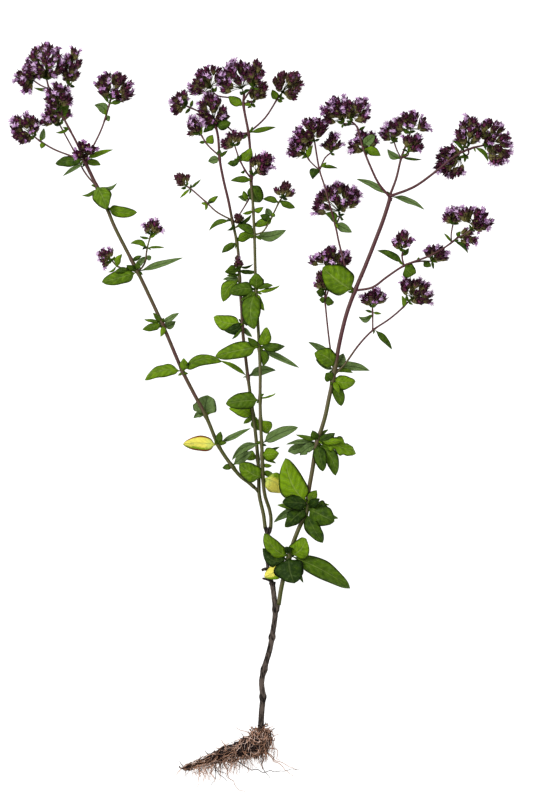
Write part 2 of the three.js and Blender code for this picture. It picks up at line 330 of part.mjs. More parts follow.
const RIGHT_STEM = {
  lines: [
    {
      radii: [1.9, 1.68],
      through: [
        [16.4, -148.4, 13.1], [18, -138, 14], [21.2, -123.6, 15.5], [24.4, -112, 17], [27.8, -100.2, 18.5],
        [32.2, -88.8, 20], [38.6, -74.4, 21], [39.9, -60, 22], [43, -42, 23], [46.2, -22.8, 24],
        [53, 0, 24.5], [56.7, 17.6, 25], [60.7, 36.4, 25.5], [64, 56.4, 26], [70, 81.8, 26],
        [76.4, 99.8, 26], [84.8, 119.8, 26], [93.8, 142.6, 26], [100.2, 159.6, 26], [105.2, 175.6, 26],
      ],
    },
    {
      radii: [0.9, 0.7],
      through: [
        [60, 34, 25.5], [68.4, 42, 26], [79.6, 57.4, 25], [90.2, 68.8, 23], [105, 79, 19],
        [114.8, 87.3, 15], [120.1, 92.8, 11.6],
      ],
      head: ["right_head_low", 48, 0, 14.9, 21.4],
    },
    {
      radii: [0.65, 0.6],
      through: [[91, 70, 23], [91.3, 78.6, 20], [91.2, 87.7, 17]],
      head: ["right_head_lowest", 81, 0, 12, 14.8],
    },
    {
      radii: [0.8, 0.7],
      through: [
        [58.5, 36, 25], [57.8, 52, 20], [55.5, 71.2, 15], [54, 86.4, 12], [53.2, 97, 10.5],
        [54, 101.8, 10],
      ],
      head: ["right_head_inner_low", 112, 0, 8, 17.2],
    },
    {
      radii: [0.65, 0.6],
      through: [[54, 94, 11], [56.7, 105, 15], [57.5, 118.8, 17.5]],
      head: ["right_head_inner", 92, 0, 17.1, 17],
    },
    {
      radii: [0.9, 0.7],
      through: [
        [76, 101, 26], [72.2, 107.2, 27], [68.6, 121.6, 30.5], [64.2, 139.2, 29], [61, 154.6, 27],
        [56.6, 170, 28.5], [52.6, 185, 26.5], [48.8, 197.4, 22], [44.7, 220.5, 25],
      ],
      head: ["right_head_left", 115, 8, 14.8, 18.2],
    },
    {
      radii: [0.6, 0.6],
      through: [[50.2, 198, 22], [41.2, 205.1, 17], [38.4, 210.8, 10.5]],
      head: ["right_head_far_left", 130, 0, 11.7, 18.2],
    },
    {
      radii: [0.6, 0.6],
      through: [[50.2, 198, 22], [53.6, 208.2, 19], [57.7, 211.6, 18]],
      head: ["right_head_left_inner", 86, 0, 8.3, 15],
    },
    {
      radii: [0.7, 0.6],
      through: [[61.5, 153, 23], [63.2, 156.6, 19], [65, 161, 15]],
      head: ["right_head_inner_top", 102, 0, 19, 25.5],
    },
    {
      radii: [1, 0.7],
      through: [
        [76, 101, 26], [90.8, 103.8, 27], [102.2, 112, 26], [116.2, 121.2, 25], [135.4, 128.6, 24.5],
        [149.2, 136.2, 22.5], [157.4, 142.4, 19.5], [159.4, 144.5, 18],
      ],
      head: ["right_head_side_low", -10, -25, 8.9, 16.8],
    },
    {
      radii: [0.6, 0.6],
      through: [[154, 140, 18.5], [154.4, 147.2, 15], [155.8, 154.5, 13]],
      head: ["right_head_side_top", 88, 0, 9.7, 13.8],
    },
    {
      radii: [0.6, 0.6],
      through: [[158, 142.5, 18], [164, 146, 25], [169.2, 150.2, 26]],
      head: ["right_head_side", 57, 2, 14.3, 18],
    },
    {
      radii: [0.7, 0.6],
      through: [[116, 121.5, 24], [114.6, 128, 24], [114.9, 132.1, 24]],
      head: ["right_head_upright", 95, 0, 8.1, 16],
    },
    {
      radii: [0.6, 0.6],
      through: [[117, 122, 24], [127.2, 124.7, 20], [138.2, 125.2, 15]],
      head: ["right_head_side_inner", 59, 0, 10.3, 13.8],
    },
    {
      radii: [1.1, 0.7],
      through: [
        [104, 176, 26], [96.4, 185.8, 27], [89.8, 198.8, 28], [82.8, 216.6, 28], [78.2, 232.4, 27],
        [74, 236, 28.5],
      ],
      head: ["right_head_crown_right", 63, 2, 11.5, 20.5],
    },
    {
      radii: [0.65, 0.6],
      through: [[75.5, 232.5, 24], [73.4, 234.6, 20], [68.5, 235.7, 12]],
      head: ["right_head_crown_left", 114, 0, 13.5, 21.8],
    },
    {
      radii: [0.65, 0.6],
      through: [[86, 212, 28], [86.5, 213, 22], [86.4, 213.3, 17]],
      head: ["right_head_behind", 113, 0, 12, 16.4],
    },
    {
      radii: [1.1, 0.75],
      through: [[104, 176, 26], [109.8, 190.4, 25], [114, 207.2, 22], [118.8, 220.2, 22], [121.1, 227, 23]],
      head: ["right_head_centre", 84, 0, 13.9, 16.4],
    },
    {
      radii: [0.6, 0.6],
      through: [[113.7, 207, 22], [110.2, 215.4, 17], [108.8, 220.3, 15]],
      head: ["right_head_centre_left", 103, 0, 11.2, 15.4],
    },
    {
      radii: [0.6, 0.6],
      through: [[113.7, 207, 22], [119.4, 209.4, 29], [119, 211.5, 33]],
      head: ["right_head_centre_low", 57, 8, 9.6, 15.8],
    },
    {
      radii: [1.2, 0.75],
      through: [
        [104, 176, 26], [124, 184, 26], [140.8, 195.8, 26], [155.4, 207.6, 25], [167.6, 214.4, 20],
        [180.4, 218, 16],
      ],
      head: ["right_head_far", 18, 0, 18.5, 21.5],
    },
    {
      radii: [0.65, 0.6],
      through: [[160, 210.7, 23.5], [163.8, 215.8, 19], [167, 216, 16]],
      head: ["right_head_far_inner", 86, 0, 10.5, 24],
    },
    {
      radii: [0.65, 0.6],
      through: [[167.5, 213.7, 20], [168.5, 211.5, 17], [166.3, 209.7, 14.5]],
      head: ["right_head_far_low", 203, 0, 12.5, 27],
    },
  ],
  leaves: [
    [26, -112, 4.6, -92.4, 24, 12.6, 0, 0.11], [26, -112, 3.2, -104.6, 18, 11.1, 0, 0.28],
    [26, -112, 28.6, -132.4, 24, 22.9, 0, -0.06], [27, -110, 38.2, -96.5, 27, 16.1, 0, -0.15],
    [26.5, -111, 73.7, -137.5, 6, 14.4, 0, 0.04], [24.5, -116, 4.7, -127.9, 17.5, 12.6, 0, 0.04],
    [25.5, -114, 36, -132.7, 12, 5.2, 170, 0.03], [27, -108, 21.7, -102.5, 31, 7, 0, 0],
    [38, -68, 21.4, -32.3, 30, 21, 0, 0.12],
    [37.5, -70, 18.9, -67.3, 33, 12.2, 0, -0.06], [37, -72, 20.9, -87.3, 27, 12.1, 0, -0.06],
    [37.5, -70, 14.8, -70, 18, 6.5, 0, 0.04], [37, -71, 12.1, -84.2, 18, 7.2, 170, -0.08],
    [38, -68, 46.6, -58, 25, 8, 0, 0.01], [38, -69, 48.9, -64.5, 33, 7.6, 0, -0.08],
    [37.6, -70, 57.1, -70.1, 18, 3.4, 10, 0.05], [37, -72, 60.6, -83, 26, 18.2, 0, 0],
    [37, -72, 64.1, -80.8, 15, 6.8, 0, -0.02], [36, -76, 51.3, -100, 26, 12.1, 0, -0.03],
    [47.5, -20, 21.9, -21.5, 23, 4.1, 170, -0.04], [48, -18, 29.4, -13.5, 31, 4.1, 10, 0.04],
    [47.5, -20, 23.3, -27.3, 17, 9.8, 170, 0], [47.3, -21, 32.9, -30.2, 28, 7.8, 180, -0.06],
    [47.3, -21, 51.3, -42.9, 31, 10, 0, 0.01], [47.5, -20, 61.7, -46.4, 22, 10.8, 0, 0.12],
    [48, -18, 61, -12.1, 31, 8.4, 0, -0.11], [47.6, -19, 79, -28.6, 21, 15, 0, -0.01],
    [47.8, -18.5, 68.4, -18.2, 31, 6.5, 0, -0.05], [48, -17, 43, -10, 32, 6.4, 0, 0.1],
    [48.5, -15, 56, -9.5, 21, 2.7, 0, 0.04], [60.5, 40, 44.5, 51.6, 34, 14.6, 0, -0.15],
    [61, 42, 39.6, 60.3, 25, 6.8, 170, -0.09], [60, 38, 45.5, 46.7, 21, 4.5, 180, 0.03],
    [60.5, 40, 89, 37.4, 20, 7.6, 165, 0.12], [61, 42, 67.9, 51.4, 20, 8.5, 180, -0.11],
    [60, 37, 75.6, 35.5, 20, 3.9, 0, 0.1], [58.5, 31, 53.5, 35.5, 32, 9.1, 0, 0.07],
    [58.5, 31, 77.5, 28.7, 26, 10.8, 0, -0.12], [58, 29, 66.3, 9.1, 21, 9.4, 0, 0.04],
    [58, 29, 64, 19, 30, 5.2, 0, 0.08], [92, 82, 79.7, 80.7, 23, 5, 170, 0.28],
    [92, 71, 106.9, 54.2, 18, 5.6, 10, 0.04], [91.9, 84, 85.2, 85.9, 20, 2.2, 0, 0],
    [91.9, 84, 98.5, 83, 18, 2.2, 0, -0.02], [116, 88.5, 114.6, 97.6, 19, 3.8, 0, -0.12],
    [53.7, 95, 48.6, 94.4, 13, 5.1, 0, 0.1], [54, 92, 60.5, 92.6, 16, 8, 0, 0.12],
    [53.4, 99, 46.1, 100.8, 13, 7, 0, -0.03], [76, 101, 51, 119.5, 34, 23.5, -8, 0.04],
    [50.3, 198, 43.2, 190.1, 23, 7.1, 0, -0.26], [50, 200, 63.6, 198.9, 24, 3, 10, 0.08],
    [39.5, 209, 34.4, 207.1, 16, 2.4, 0, -0.13], [41, 208, 43.7, 217.7, 19, 4.2, 0, 0.11],
    [61, 155, 74.7, 147.8, 24, 6.9, 178, 0.01], [61, 154, 53, 162.9, 22, 6.9, 0, -0.26],
    [116.5, 122, 94.6, 133.3, 25, 6, -10, -0.1], [117, 122, 125.8, 115.2, 25, 12.2, 0, -0.24],
    [128, 123.5, 128, 128.1, 25, 2.6, 0, 0.04], [132, 123.6, 138.1, 120.7, 21, 5.5, 0, -0.05],
    [154, 140, 148.2, 147.3, 20, 2.2, 0, -0.04], [156, 141, 167.8, 131.3, 16, 3.2, 10, 0.14],
    [104, 176, 78, 190.7, 21, 5.5, 165, -0.04], [104, 175.5, 132.9, 166, 20, 5.1, 165, 0.11],
    [84, 217, 92.5, 225, 33, 8, 180, 0], [85, 214.5, 97.5, 208.8, 26, 7.5, 0, 0.08],
    [78, 228.5, 85.4, 232.4, 26, 2.2, 0, -0.01], [113.5, 207, 102.9, 214.4, 23, 5.9, 170, 0.16],
    [114, 208, 130.8, 206.2, 21, 2.3, 0, -0.03], [164, 212.5, 154.4, 221.2, 25, 3.2, 20, -0.07],
    [173, 215, 184, 204.6, 14, 3.5, 0, 0.16], [117, 129, 120.2, 135.4, 22, 3.6, 0, -0.05],
  ],
};

const ROOTSTOCK = {
  // The creeping rhizome, from its crown to its broken end.
  rhizome: {
    radii: [5.5, 9, 8.6, 7.6, 6.4, 5.2, 3.8, 2.4, 2.8, 1.6],
    through: [
      [3, -251, 9], [2, -259, 8.6], [-4, -263, 8.2], [-13, -265.6, 7.4], [-24, -269, 6.2], [-35, -273, 5],
      [-46, -277, 4.2], [-56, -281, 2.8], [-62, -282, 2.4], [-64, -281, 2.4],
    ],
  },
  crown: { radii: [3.2, 2.6], through: [[1, -257, 9], [2, -250, 10.5], [2, -246.3, 11]] },
  // Rootlets: [x, y, z of the foot, x, y, z of the tip, sag sideways].
  rootlets: [
    [-2, -256, 9, -18, -250, 4, 1], [3, -254, 10, 11, -247, 8, 1], [5, -258, 9, 16, -256, 4, 1],
    [6, -262, 8, 13, -266, 2, -1], [5, -268, 6, 27.5, -289, 1.1, 0], [4, -266, 5, 17, -277, 1, 3],
    [3, -268, 5, 9, -291, 1.1, -2], [0, -268, 6, 3, -283, 1, 1], [4, -267, 6, 31, -283.5, 1.1, -1],
    [-4, -268, 6, -4, -277, 2, 1], [-10, -268, 5, -13, -283, 1, -1], [-14, -270, 5, -16, -286, 1.1, 1],
    [-19, -271, 4, -20, -287, 1, 1], [-24, -272, 4, -24, -288, 1, -1], [-28, -272, 4, -12, -302, 1.1, -3],
    [-30, -274, 4, -32, -293, 1.1, 1], [-34, -275, 4, -38, -297, 1.1, 2],
    [-38, -276, 3.5, -26, -292, 1.1, -1], [-43, -278, 3, -50, -286, 1.1, 1],
    [-48, -279, 3, -40, -291, 1.1, 1], [-61, -282, 2, -67, -288, 1.1, 1], [-60, -282, 2, -64, -277, 2, 0],
    [-26, -264, 7, -31, -259, 7, 0], [-10, -259, 11, -14, -254, 8, 0], [-2, -255, 12, -7, -247, 12, 1],
    [-40, -271, 7, -44, -267, 4, 0], [8, -260, 11, 13, -259, 13, 0], [2, -256, 15, -3, -250, 15, 0],
    [-24, -274, 4, 34, -282.5, 1.1, -6],
  ],
};

// ---- Helpers ------------------------------------------------------------------------------------------------

const UP = new THREE.Vector3(0, 0, 1);

// A closed geometry with its doubled vertices merged.
function welded(geometry) {
  geometry.deleteAttribute("normal");
  geometry.deleteAttribute("uv");
  return mergeVertices(geometry, WELD_DISTANCE);
}

// A closed geometry as a solid that can be joined and cut, each vertex of it moved by place() first.
function solidFrom(geometry, place = () => {}) {
  const { attributes, index } = welded(geometry);
  const { array, count } = attributes.position;
  const vertex = new THREE.Vector3();
  for (let i = 0; i < count; i++) {
    place(vertex.fromArray(array, 3 * i));
    vertex.toArray(array, 3 * i);
  }
  return new wasm.Manifold(
    new wasm.Mesh({ numProp: 3, vertProperties: array, triVerts: Uint32Array.from(index.array) }),
  );
}

// The row of a unit sphere that a vertex of it is in, counted from its +Y pole.
function rowOf(vertex, rows) {
  return Math.round((Math.acos(THREE.MathUtils.clamp(vertex.y, -1, 1)) / Math.PI) * rows);
}

// The column of a round geometry about +Y that a vertex of it is in.
function columnOf(vertex, sides) {
  return (Math.round((Math.atan2(vertex.x, vertex.z) / (2 * Math.PI)) * sides) + sides) % sides;
}

function fuse(solids) {
  return solids.reduce((whole, piece) => whole.add(piece));
}

function meshOf(name, solid, material) {
  const { numProp, numVert, vertProperties, triVerts } = solid.getMesh();
  const corners = new Float32Array(numVert * 3);
  for (let i = 0; i < numVert; i++) {
    corners.set(vertProperties.subarray(i * numProp, i * numProp + 3), i * 3);
  }
  const geometry = new THREE.BufferGeometry();
  geometry.setAttribute("position", new THREE.BufferAttribute(corners, 3));
  geometry.setIndex(new THREE.BufferAttribute(triVerts, 1));
  geometry.computeVertexNormals();
  const mesh = new THREE.Mesh(geometry, material);
  mesh.name = name;
  return mesh;
}

// Random numbers from 0 to 1 that are the same on every run.
function seededRandom(seed) {
  let state = seed;
  return () => {
    state = (Math.imul(state, 1664525) + 1013904223) >>> 0;
    return state / 2 ** 32;
  };
}

function curveThrough(points) {
  return new THREE.CatmullRomCurve3(points.map(([x, y, z]) => new THREE.Vector3(x, y, z)));
}

// The direction with this heading in the XY plane and this climb out of it, in degrees.
function directionOf(heading, climb) {
  const [plan, rise] = [THREE.MathUtils.degToRad(heading), THREE.MathUtils.degToRad(climb)];
  return new THREE.Vector3(Math.cos(plan) * Math.cos(rise), Math.sin(plan) * Math.cos(rise), Math.sin(rise));
}

// ---- Stems --------------------------------------------------------------------------------------------------

// A curve as the corners of a run of straight stretches, each about one step long.
function cornersOf(curve, step) {
  return curve.getSpacedPoints(Math.max(2, Math.round(curve.getLength() / step)));
}

// A tapering stalk along a curve, closed at both ends. swell() scales its radius at each ring and column.
function stalk(curve, [startRadius, endRadius], sides, step, swell = () => 1) {
  const corners = cornersOf(curve, step);
  const steps = corners.length - 1;
  const frames = curve.computeFrenetFrames(steps);
  const bend = (vertex) => {
    const along = vertex.y + 0.5;
    const ring = Math.round(along * steps);
    const taper = THREE.MathUtils.lerp(startRadius, endRadius, along);
    const radius = taper * swell(ring, columnOf(vertex, sides));
    const { x, z } = vertex;
    vertex
      .copy(corners[ring])
      .addScaledVector(frames.normals[ring], x * radius)
      .addScaledVector(frames.binormals[ring], -z * radius);
  };
  return solidFrom(new THREE.CylinderGeometry(1, 1, 1, sides, steps), bend);
}

// The point of the stems' straight stretches that is nearest to x, y, seen from above.
function footOn(stems, x, y) {
  const target = new THREE.Vector2(x, y);
  const flat = ({ x: u, y: v }) => new THREE.Vector2(u, v);
  const feet = stems.flatMap((corners) =>
    corners.slice(1).map((end, i) => {
      const stretch = flat(end).sub(flat(corners[i]));
      const share = flat(target).sub(flat(corners[i])).dot(stretch) / stretch.lengthSq();
      return corners[i].clone().lerp(end, THREE.MathUtils.clamp(share, 0, 1));
    }),
  );
  const distance = (foot) => target.distanceTo(flat(foot));
  return feet.reduce((nearest, foot) => (distance(foot) < distance(nearest) ? foot : nearest));
}

// ---- Leaves -------------------------------------------------------------------------------------------------

// Places along a leaf, as shares of its length, and the half width there, as a share of its width.
const FULL_OUTLINE = { along: [0, 0.13, 0.32, 0.58, 0.84, 1], half: [0, 0.06, 0.46, 0.5, 0.27, 0] };
const PLAIN_OUTLINE = { along: [0, 0.15, 0.42, 0.75, 1], half: [0, 0.09, 0.5, 0.37, 0] };
const SHORT_OUTLINE = { along: [0, 0.4, 0.74, 1], half: [0, 0.5, 0.38, 0] };

// One leaf with its stalk: a bowed blade with a ridge along its midrib.
// Each row of its outline has three points: its two edges and the ridge.
function leaf(foot, tip, width, turn, sweep) {
  const lengthwise = new THREE.Vector3().subVectors(tip, foot);
  const length = lengthwise.length();
  lengthwise.normalize();
  const leftwards = new THREE.Vector3().crossVectors(UP, lengthwise).normalize();
  const upwards = UP.clone().addScaledVector(lengthwise, -lengthwise.z).normalize();
  upwards.applyAxisAngle(lengthwise, THREE.MathUtils.degToRad(turn));
  const sideways = new THREE.Vector3().crossVectors(upwards, lengthwise);
  const outline = length < SHORT_LEAF ? SHORT_OUTLINE : width < WIDE_LEAF ? PLAIN_OUTLINE : FULL_OUTLINE;
  const rows = outline.along.length - 1;
  const shape = (vertex) => {
    const row = rowOf(vertex, rows);
    const side = [0, 1, -1][columnOf(vertex, 3)];
    const along = outline.along[row];
    const ridge = row % rows && side === 0 ? MIDRIB_THICKNESS : 0;
    const bow = length * 4 * along * (1 - along);
    vertex
      .copy(foot)
      .addScaledVector(lengthwise, along * length)
      .addScaledVector(sideways, side * outline.half[row] * width)
      .addScaledVector(leftwards, sweep * bow)
      .addScaledVector(upwards, ridge + BLADE_ARCH * bow);
  };
  return solidFrom(new THREE.SphereGeometry(1, 3, rows), shape);
}

// ---- Flower heads -------------------------------------------------------------------------------------------

// The three sides of a bract that rises from the corners of a face to its tip.
function bract([a, b, c], tip) {
  return [a, b, tip, b, c, tip, c, a, tip];
}

// A band of three sides between two rings of three points.
function band([a, b, c], [d, e, f]) {
  return [a, b, e, a, e, d, b, c, f, b, f, e, c, a, d, c, d, f];
}

// A bract whose tip opens into a corolla, a small three-cornered trumpet.
function bractWithCorolla(corners, tip, outwards) {
  const middle = corners.reduce((sum, corner) => sum.add(corner), new THREE.Vector3()).divideScalar(3);
  const ring = (height, radius) =>
    corners.map((corner) =>
      corner.clone().sub(middle).setLength(radius).add(tip).addScaledVector(outwards, height),
    );
  const waist = ring(-COROLLA_DEPTH, WAIST_RADIUS);
  const mouth = ring(COROLLA_LENGTH - COROLLA_DEPTH, MOUTH_RADIUS);
  return [...band(corners, waist), ...band(waist, mouth), ...mouth];
}

// A head just off the end of its branch. Its core is a coarse globe that narrows to the branch, and every face
// of it rises to the tip of a bract. Some of the upper bracts bear a corolla.
function flowerHead(branch, [name, heading, climb, reach, height]) {
  const foot = branch.getPoint(1).addScaledVector(branch.getTangent(1), GAP);
  const random = seededRandom(Math.round(Math.abs(foot.x * 7 + foot.y * 3)));
  const axis = directionOf(heading, climb);
  const across = directionOf(heading + 90, 0);
  const over = new THREE.Vector3().crossVectors(axis, across);
  const place = ({ x, y, z }, size) =>
    foot
      .clone()
      .addScaledVector(axis, height * (HEAD_CENTRE + size * y * (y > 0 ? 1 - HEAD_CENTRE : HEAD_CENTRE)))
      .addScaledVector(across, z * size * reach)
      .addScaledVector(over, x * size * reach * HEAD_FLATTENING);

  const [columns, rows] = reach < SMALL_HEAD ? SMALL_HEAD_FACES : LARGE_HEAD_FACES;
  const globe = welded(new THREE.SphereGeometry(1, columns, rows).rotateY(2 * Math.PI * random()));
  const corners = Array.from({ length: globe.attributes.position.count }, (_, i) =>
    new THREE.Vector3().fromBufferAttribute(globe.attributes.position, i),
  );
  const atFoot = (corner) => corner.y + 1 < WELD_DISTANCE;
  const points = corners.map((corner) => place(corner, atFoot(corner) ? 1 : CORE_SIZE));
  const centre = place(new THREE.Vector3(), 0);
  const vertices = [];
  for (let i = 0; i < globe.index.count; i += 3) {
    const face = [i, i + 1, i + 2].map((k) => globe.index.getX(k));
    const base = face.map((k) => points[k]);
    const normal = face.reduce((sum, k) => sum.add(corners[k]), new THREE.Vector3()).normalize();
    const tip = place(normal, 1 + BRACT_SPREAD * (random() - 0.5));
    if (face.some((k) => atFoot(corners[k]))) {
      vertices.push(...base);
    } else if (normal.y > 0 && random() < COROLLA_SHARE) {
      vertices.push(...bractWithCorolla(base, tip, tip.clone().sub(centre).normalize()));
    } else {
      vertices.push(...bract(base, tip));
    }
  }
  const head = solidFrom(new THREE.BufferGeometry().setFromPoints(vertices));
  return meshOf(name, head.subtract(ground), MATERIALS.flowers);
}

// ---- Assembly -----------------------------------------------------------------------------------------------

const MATERIALS = {
  roots: new THREE.MeshStandardMaterial({ color: 0x5a4334, roughness: 0.95, metalness: 0 }),
  wood: new THREE.MeshStandardMaterial({ color: 0x4a3b33, roughness: 0.85, metalness: 0 }),
  leafyStems: new THREE.MeshStandardMaterial({ color: 0x4d7a22, roughness: 0.6, metalness: 0 }),
  flowers: new THREE.MeshStandardMaterial({ color: 0x5b2a55, roughness: 0.7, metalness: 0 }),
};

// Everything below the surface, cut away so that what lies on it is flat there.
const ground = solidFrom(new THREE.BoxGeometry(...GROUND_BLOCK).translate(0, 0, -GROUND_BLOCK[2] / 2));

// The rootstock: a knobbly tapering rhizome, the crown that bears the stem, and rootlets.
function rootstock({ rhizome, crown, rootlets }) {
  const random = seededRandom(RHIZOME_SEED);
  const knob = () => 1 + KNOBBLINESS * (random() - 0.5);
  const knobs = Array.from({ length: (RHIZOME_STEPS + 1) * RHIZOME_SIDES }, knob);
  const curve = curveThrough(rhizome.through);
  const swell = (ring, column) => {
    const place = (ring / RHIZOME_STEPS) * (rhizome.radii.length - 1);
    const before = Math.min(Math.floor(place), rhizome.radii.length - 2);
    const radius = THREE.MathUtils.lerp(rhizome.radii[before], rhizome.radii[before + 1], place - before);
    return radius * knobs[ring * RHIZOME_SIDES + column];
  };
  const body = stalk(curve, [1, 1], RHIZOME_SIDES, curve.getLength() / RHIZOME_STEPS, swell);
  const neck = stalk(curveThrough(crown.through), crown.radii, WOOD_SIDES, WOOD_STEP);
  const hairs = rootlets.map(([x, y, z, tipX, tipY, tipZ, sag]) => {
    const middle = [(x + tipX) / 2 + sag, (y + tipY) / 2 + sag, (z + tipZ) / 2];
    const path = curveThrough([[x, y, z], middle, [tipX, tipY, tipZ]]);
    return stalk(path, ROOTLET_RADII, ROOTLET_SIDES, ROOTLET_STEP);
  });
  return meshOf("rootstock", fuse([body, neck, ...hairs]).subtract(ground), MATERIALS.roots);
}

// The stems and branches of a plant piece: the solids, their curves and their corners. Each branch starts on
// the stems before it, at the point that is nearest to its first x, y.
function growStems(lines, sides, steps) {
  const grown = { stalks: [], curves: [], stems: [] };
  lines.forEach(({ radii, through }, i) => {
    const order = Math.min(i, 1);
    const curve = curveThrough(through);
    if (order === 1) {
      curve.points[0] = footOn(grown.stems, ...through[0]);
    }
    grown.stalks.push(stalk(curve, radii, sides[order], steps[order]));
    grown.curves.push(curve);
    grown.stems.push(cornersOf(curve, steps[order]));
  });
  return grown;
}

// The woody base: the old stem above the crown, its fork, and the scars of lost branches.
function woodyBase({ lines }) {
  const { stalks } = growStems(lines, [WOOD_SIDES, WOOD_SIDES], [WOOD_STEP, WOOD_STEP]);
  return meshOf("woody_base", fuse(stalks), MATERIALS.wood);
}

// A leafy stem with its branches and leaves, and the flower heads that it bears.
function leafyStem(name, { lines, leaves }) {
  const { stalks, curves, stems } = growStems(lines, [STEM_SIDES, BRANCH_SIDES], [STEM_STEP, BRANCH_STEP]);
  const blades = leaves.map(([x, y, tipX, tipY, tipZ, ...form]) =>
    leaf(footOn(stems, x, y), new THREE.Vector3(tipX, tipY, tipZ), ...form),
  );
  const heads = lines.flatMap(({ head }, i) => (head ? [flowerHead(curves[i], head)] : []));
  return [meshOf(name, fuse([...stalks, ...blades]), MATERIALS.leafyStems), ...heads];
}

const oregano = new THREE.Group();
oregano.add(
  rootstock(ROOTSTOCK),
  woodyBase(WOODY_BASE),
  ...leafyStem("inner_leafy_stem", INNER_STEM),
  ...leafyStem("left_leafy_stem", LEFT_STEM),
  ...leafyStem("middle_leafy_stem", MIDDLE_STEM),
  ...leafyStem("right_leafy_stem", RIGHT_STEM),
);

export default oregano;
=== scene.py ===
"""Dresses the solids of a flowering oregano plant with fine stems, leaves, flower heads and roots."""

import math
import random

import bmesh
import bpy
from bpy.props import FloatProperty, FloatVectorProperty, IntProperty, PointerProperty
from bpy.types import Operator, Panel, PropertyGroup
from mathutils import Matrix, Vector, noise


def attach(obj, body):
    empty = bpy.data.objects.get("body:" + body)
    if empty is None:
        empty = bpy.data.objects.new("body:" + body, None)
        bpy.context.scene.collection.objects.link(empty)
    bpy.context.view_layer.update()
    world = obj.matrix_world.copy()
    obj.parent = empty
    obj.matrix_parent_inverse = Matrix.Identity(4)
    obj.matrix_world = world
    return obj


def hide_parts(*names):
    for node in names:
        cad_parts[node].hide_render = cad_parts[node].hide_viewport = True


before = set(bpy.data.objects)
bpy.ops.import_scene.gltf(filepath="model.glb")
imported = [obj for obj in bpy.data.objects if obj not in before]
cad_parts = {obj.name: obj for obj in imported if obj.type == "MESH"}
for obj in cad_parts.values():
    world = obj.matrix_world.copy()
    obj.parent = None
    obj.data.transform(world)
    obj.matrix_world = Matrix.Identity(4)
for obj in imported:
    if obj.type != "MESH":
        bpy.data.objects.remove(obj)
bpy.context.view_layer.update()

bl_info = {
    "name": "Oregano plant",
    "version": (1, 0, 0),
    "blender": (4, 5, 0),
    "location": "3D View > Sidebar > Oregano",
    "description": "Dresses a flowering oregano plant with leaves, flower heads, bark and roots",
    "category": "Mesh",
}

BODY = "root"
MM = 0.001  # every length below is in millimetres, and the pieces are in metres
UP = Vector((0, 0, 1))
GOLDEN_ANGLE = math.pi * (3 - math.sqrt(5))

# ---- The plant's layout, in millimetres ---------------------------------------------------------------
# A stem's ripening is how purple it is: [y, share of purple], from its foot up.
# A line is a stem or a branch: its radii at the start and at the end, the points that it runs through, and
# its head, if it has one: node, heading and climb in degrees, reach sideways, height, share of open flowers,
# and how far down its outside the spikelets go, where 1 is halfway and 2 all the way.
# A leaf is [x, y of its foot, x, y, z of its tip, width, turn of the blade about its length in degrees, and
# sideways bow as a share of its length]. Its tone follows, if it isn't ordinary, and how crumpled it is.

# The tones of leaves. Any number up to BRIGHT is a green, and an ordinary leaf takes one by chance.
DARK = 0.0
BRIGHT = 1.0
YELLOW = 2.0
SCORCHED = 3.0
ORDINARY = None


def grow(start, end, through, *head):
    """A line of the layout: a stem or a branch."""
    return {"radii": (start, end), "through": through, "head": head}


WOODY_BASE = {
    "lines": [
        grow(2.4, 2.1, [
            [2, -246, 11], [2.5, -236, 12], [3.5, -224, 12], [2.5, -212, 12], [5, -200, 12], [9, -186, 12],
            [11.5, -172, 12], [13.5, -156, 12], [12.5, -144, 12], [11, -132, 12],
        ]),
        grow(1.3, 1.5, [
            [11, -134, 12], [8.5, -125, 11.5], [6.8, -114, 11], [6.8, -101, 11], [7.6, -92, 11],
        ]),
        grow(1.5, 1.45, [[7.3, -95, 11], [6.6, -91, 11], [5.4, -88, 11]]),
        grow(1.4, 1.45, [[7.5, -95, 11], [8.6, -91, 11.5], [9.6, -88, 12]]),
        grow(1.8, 1.65, [[12.8, -158, 12], [15, -152.5, 12.6], [16.2, -149, 13]]),
        grow(1.3, 0.7, [[9.5, -131, 12], [6, -129.5, 13], [3, -129, 13]]),
        grow(1.3, 0.8, [[8, -122, 11.5], [5, -121.5, 13], [2.5, -122.5, 13]]),
    ],
}

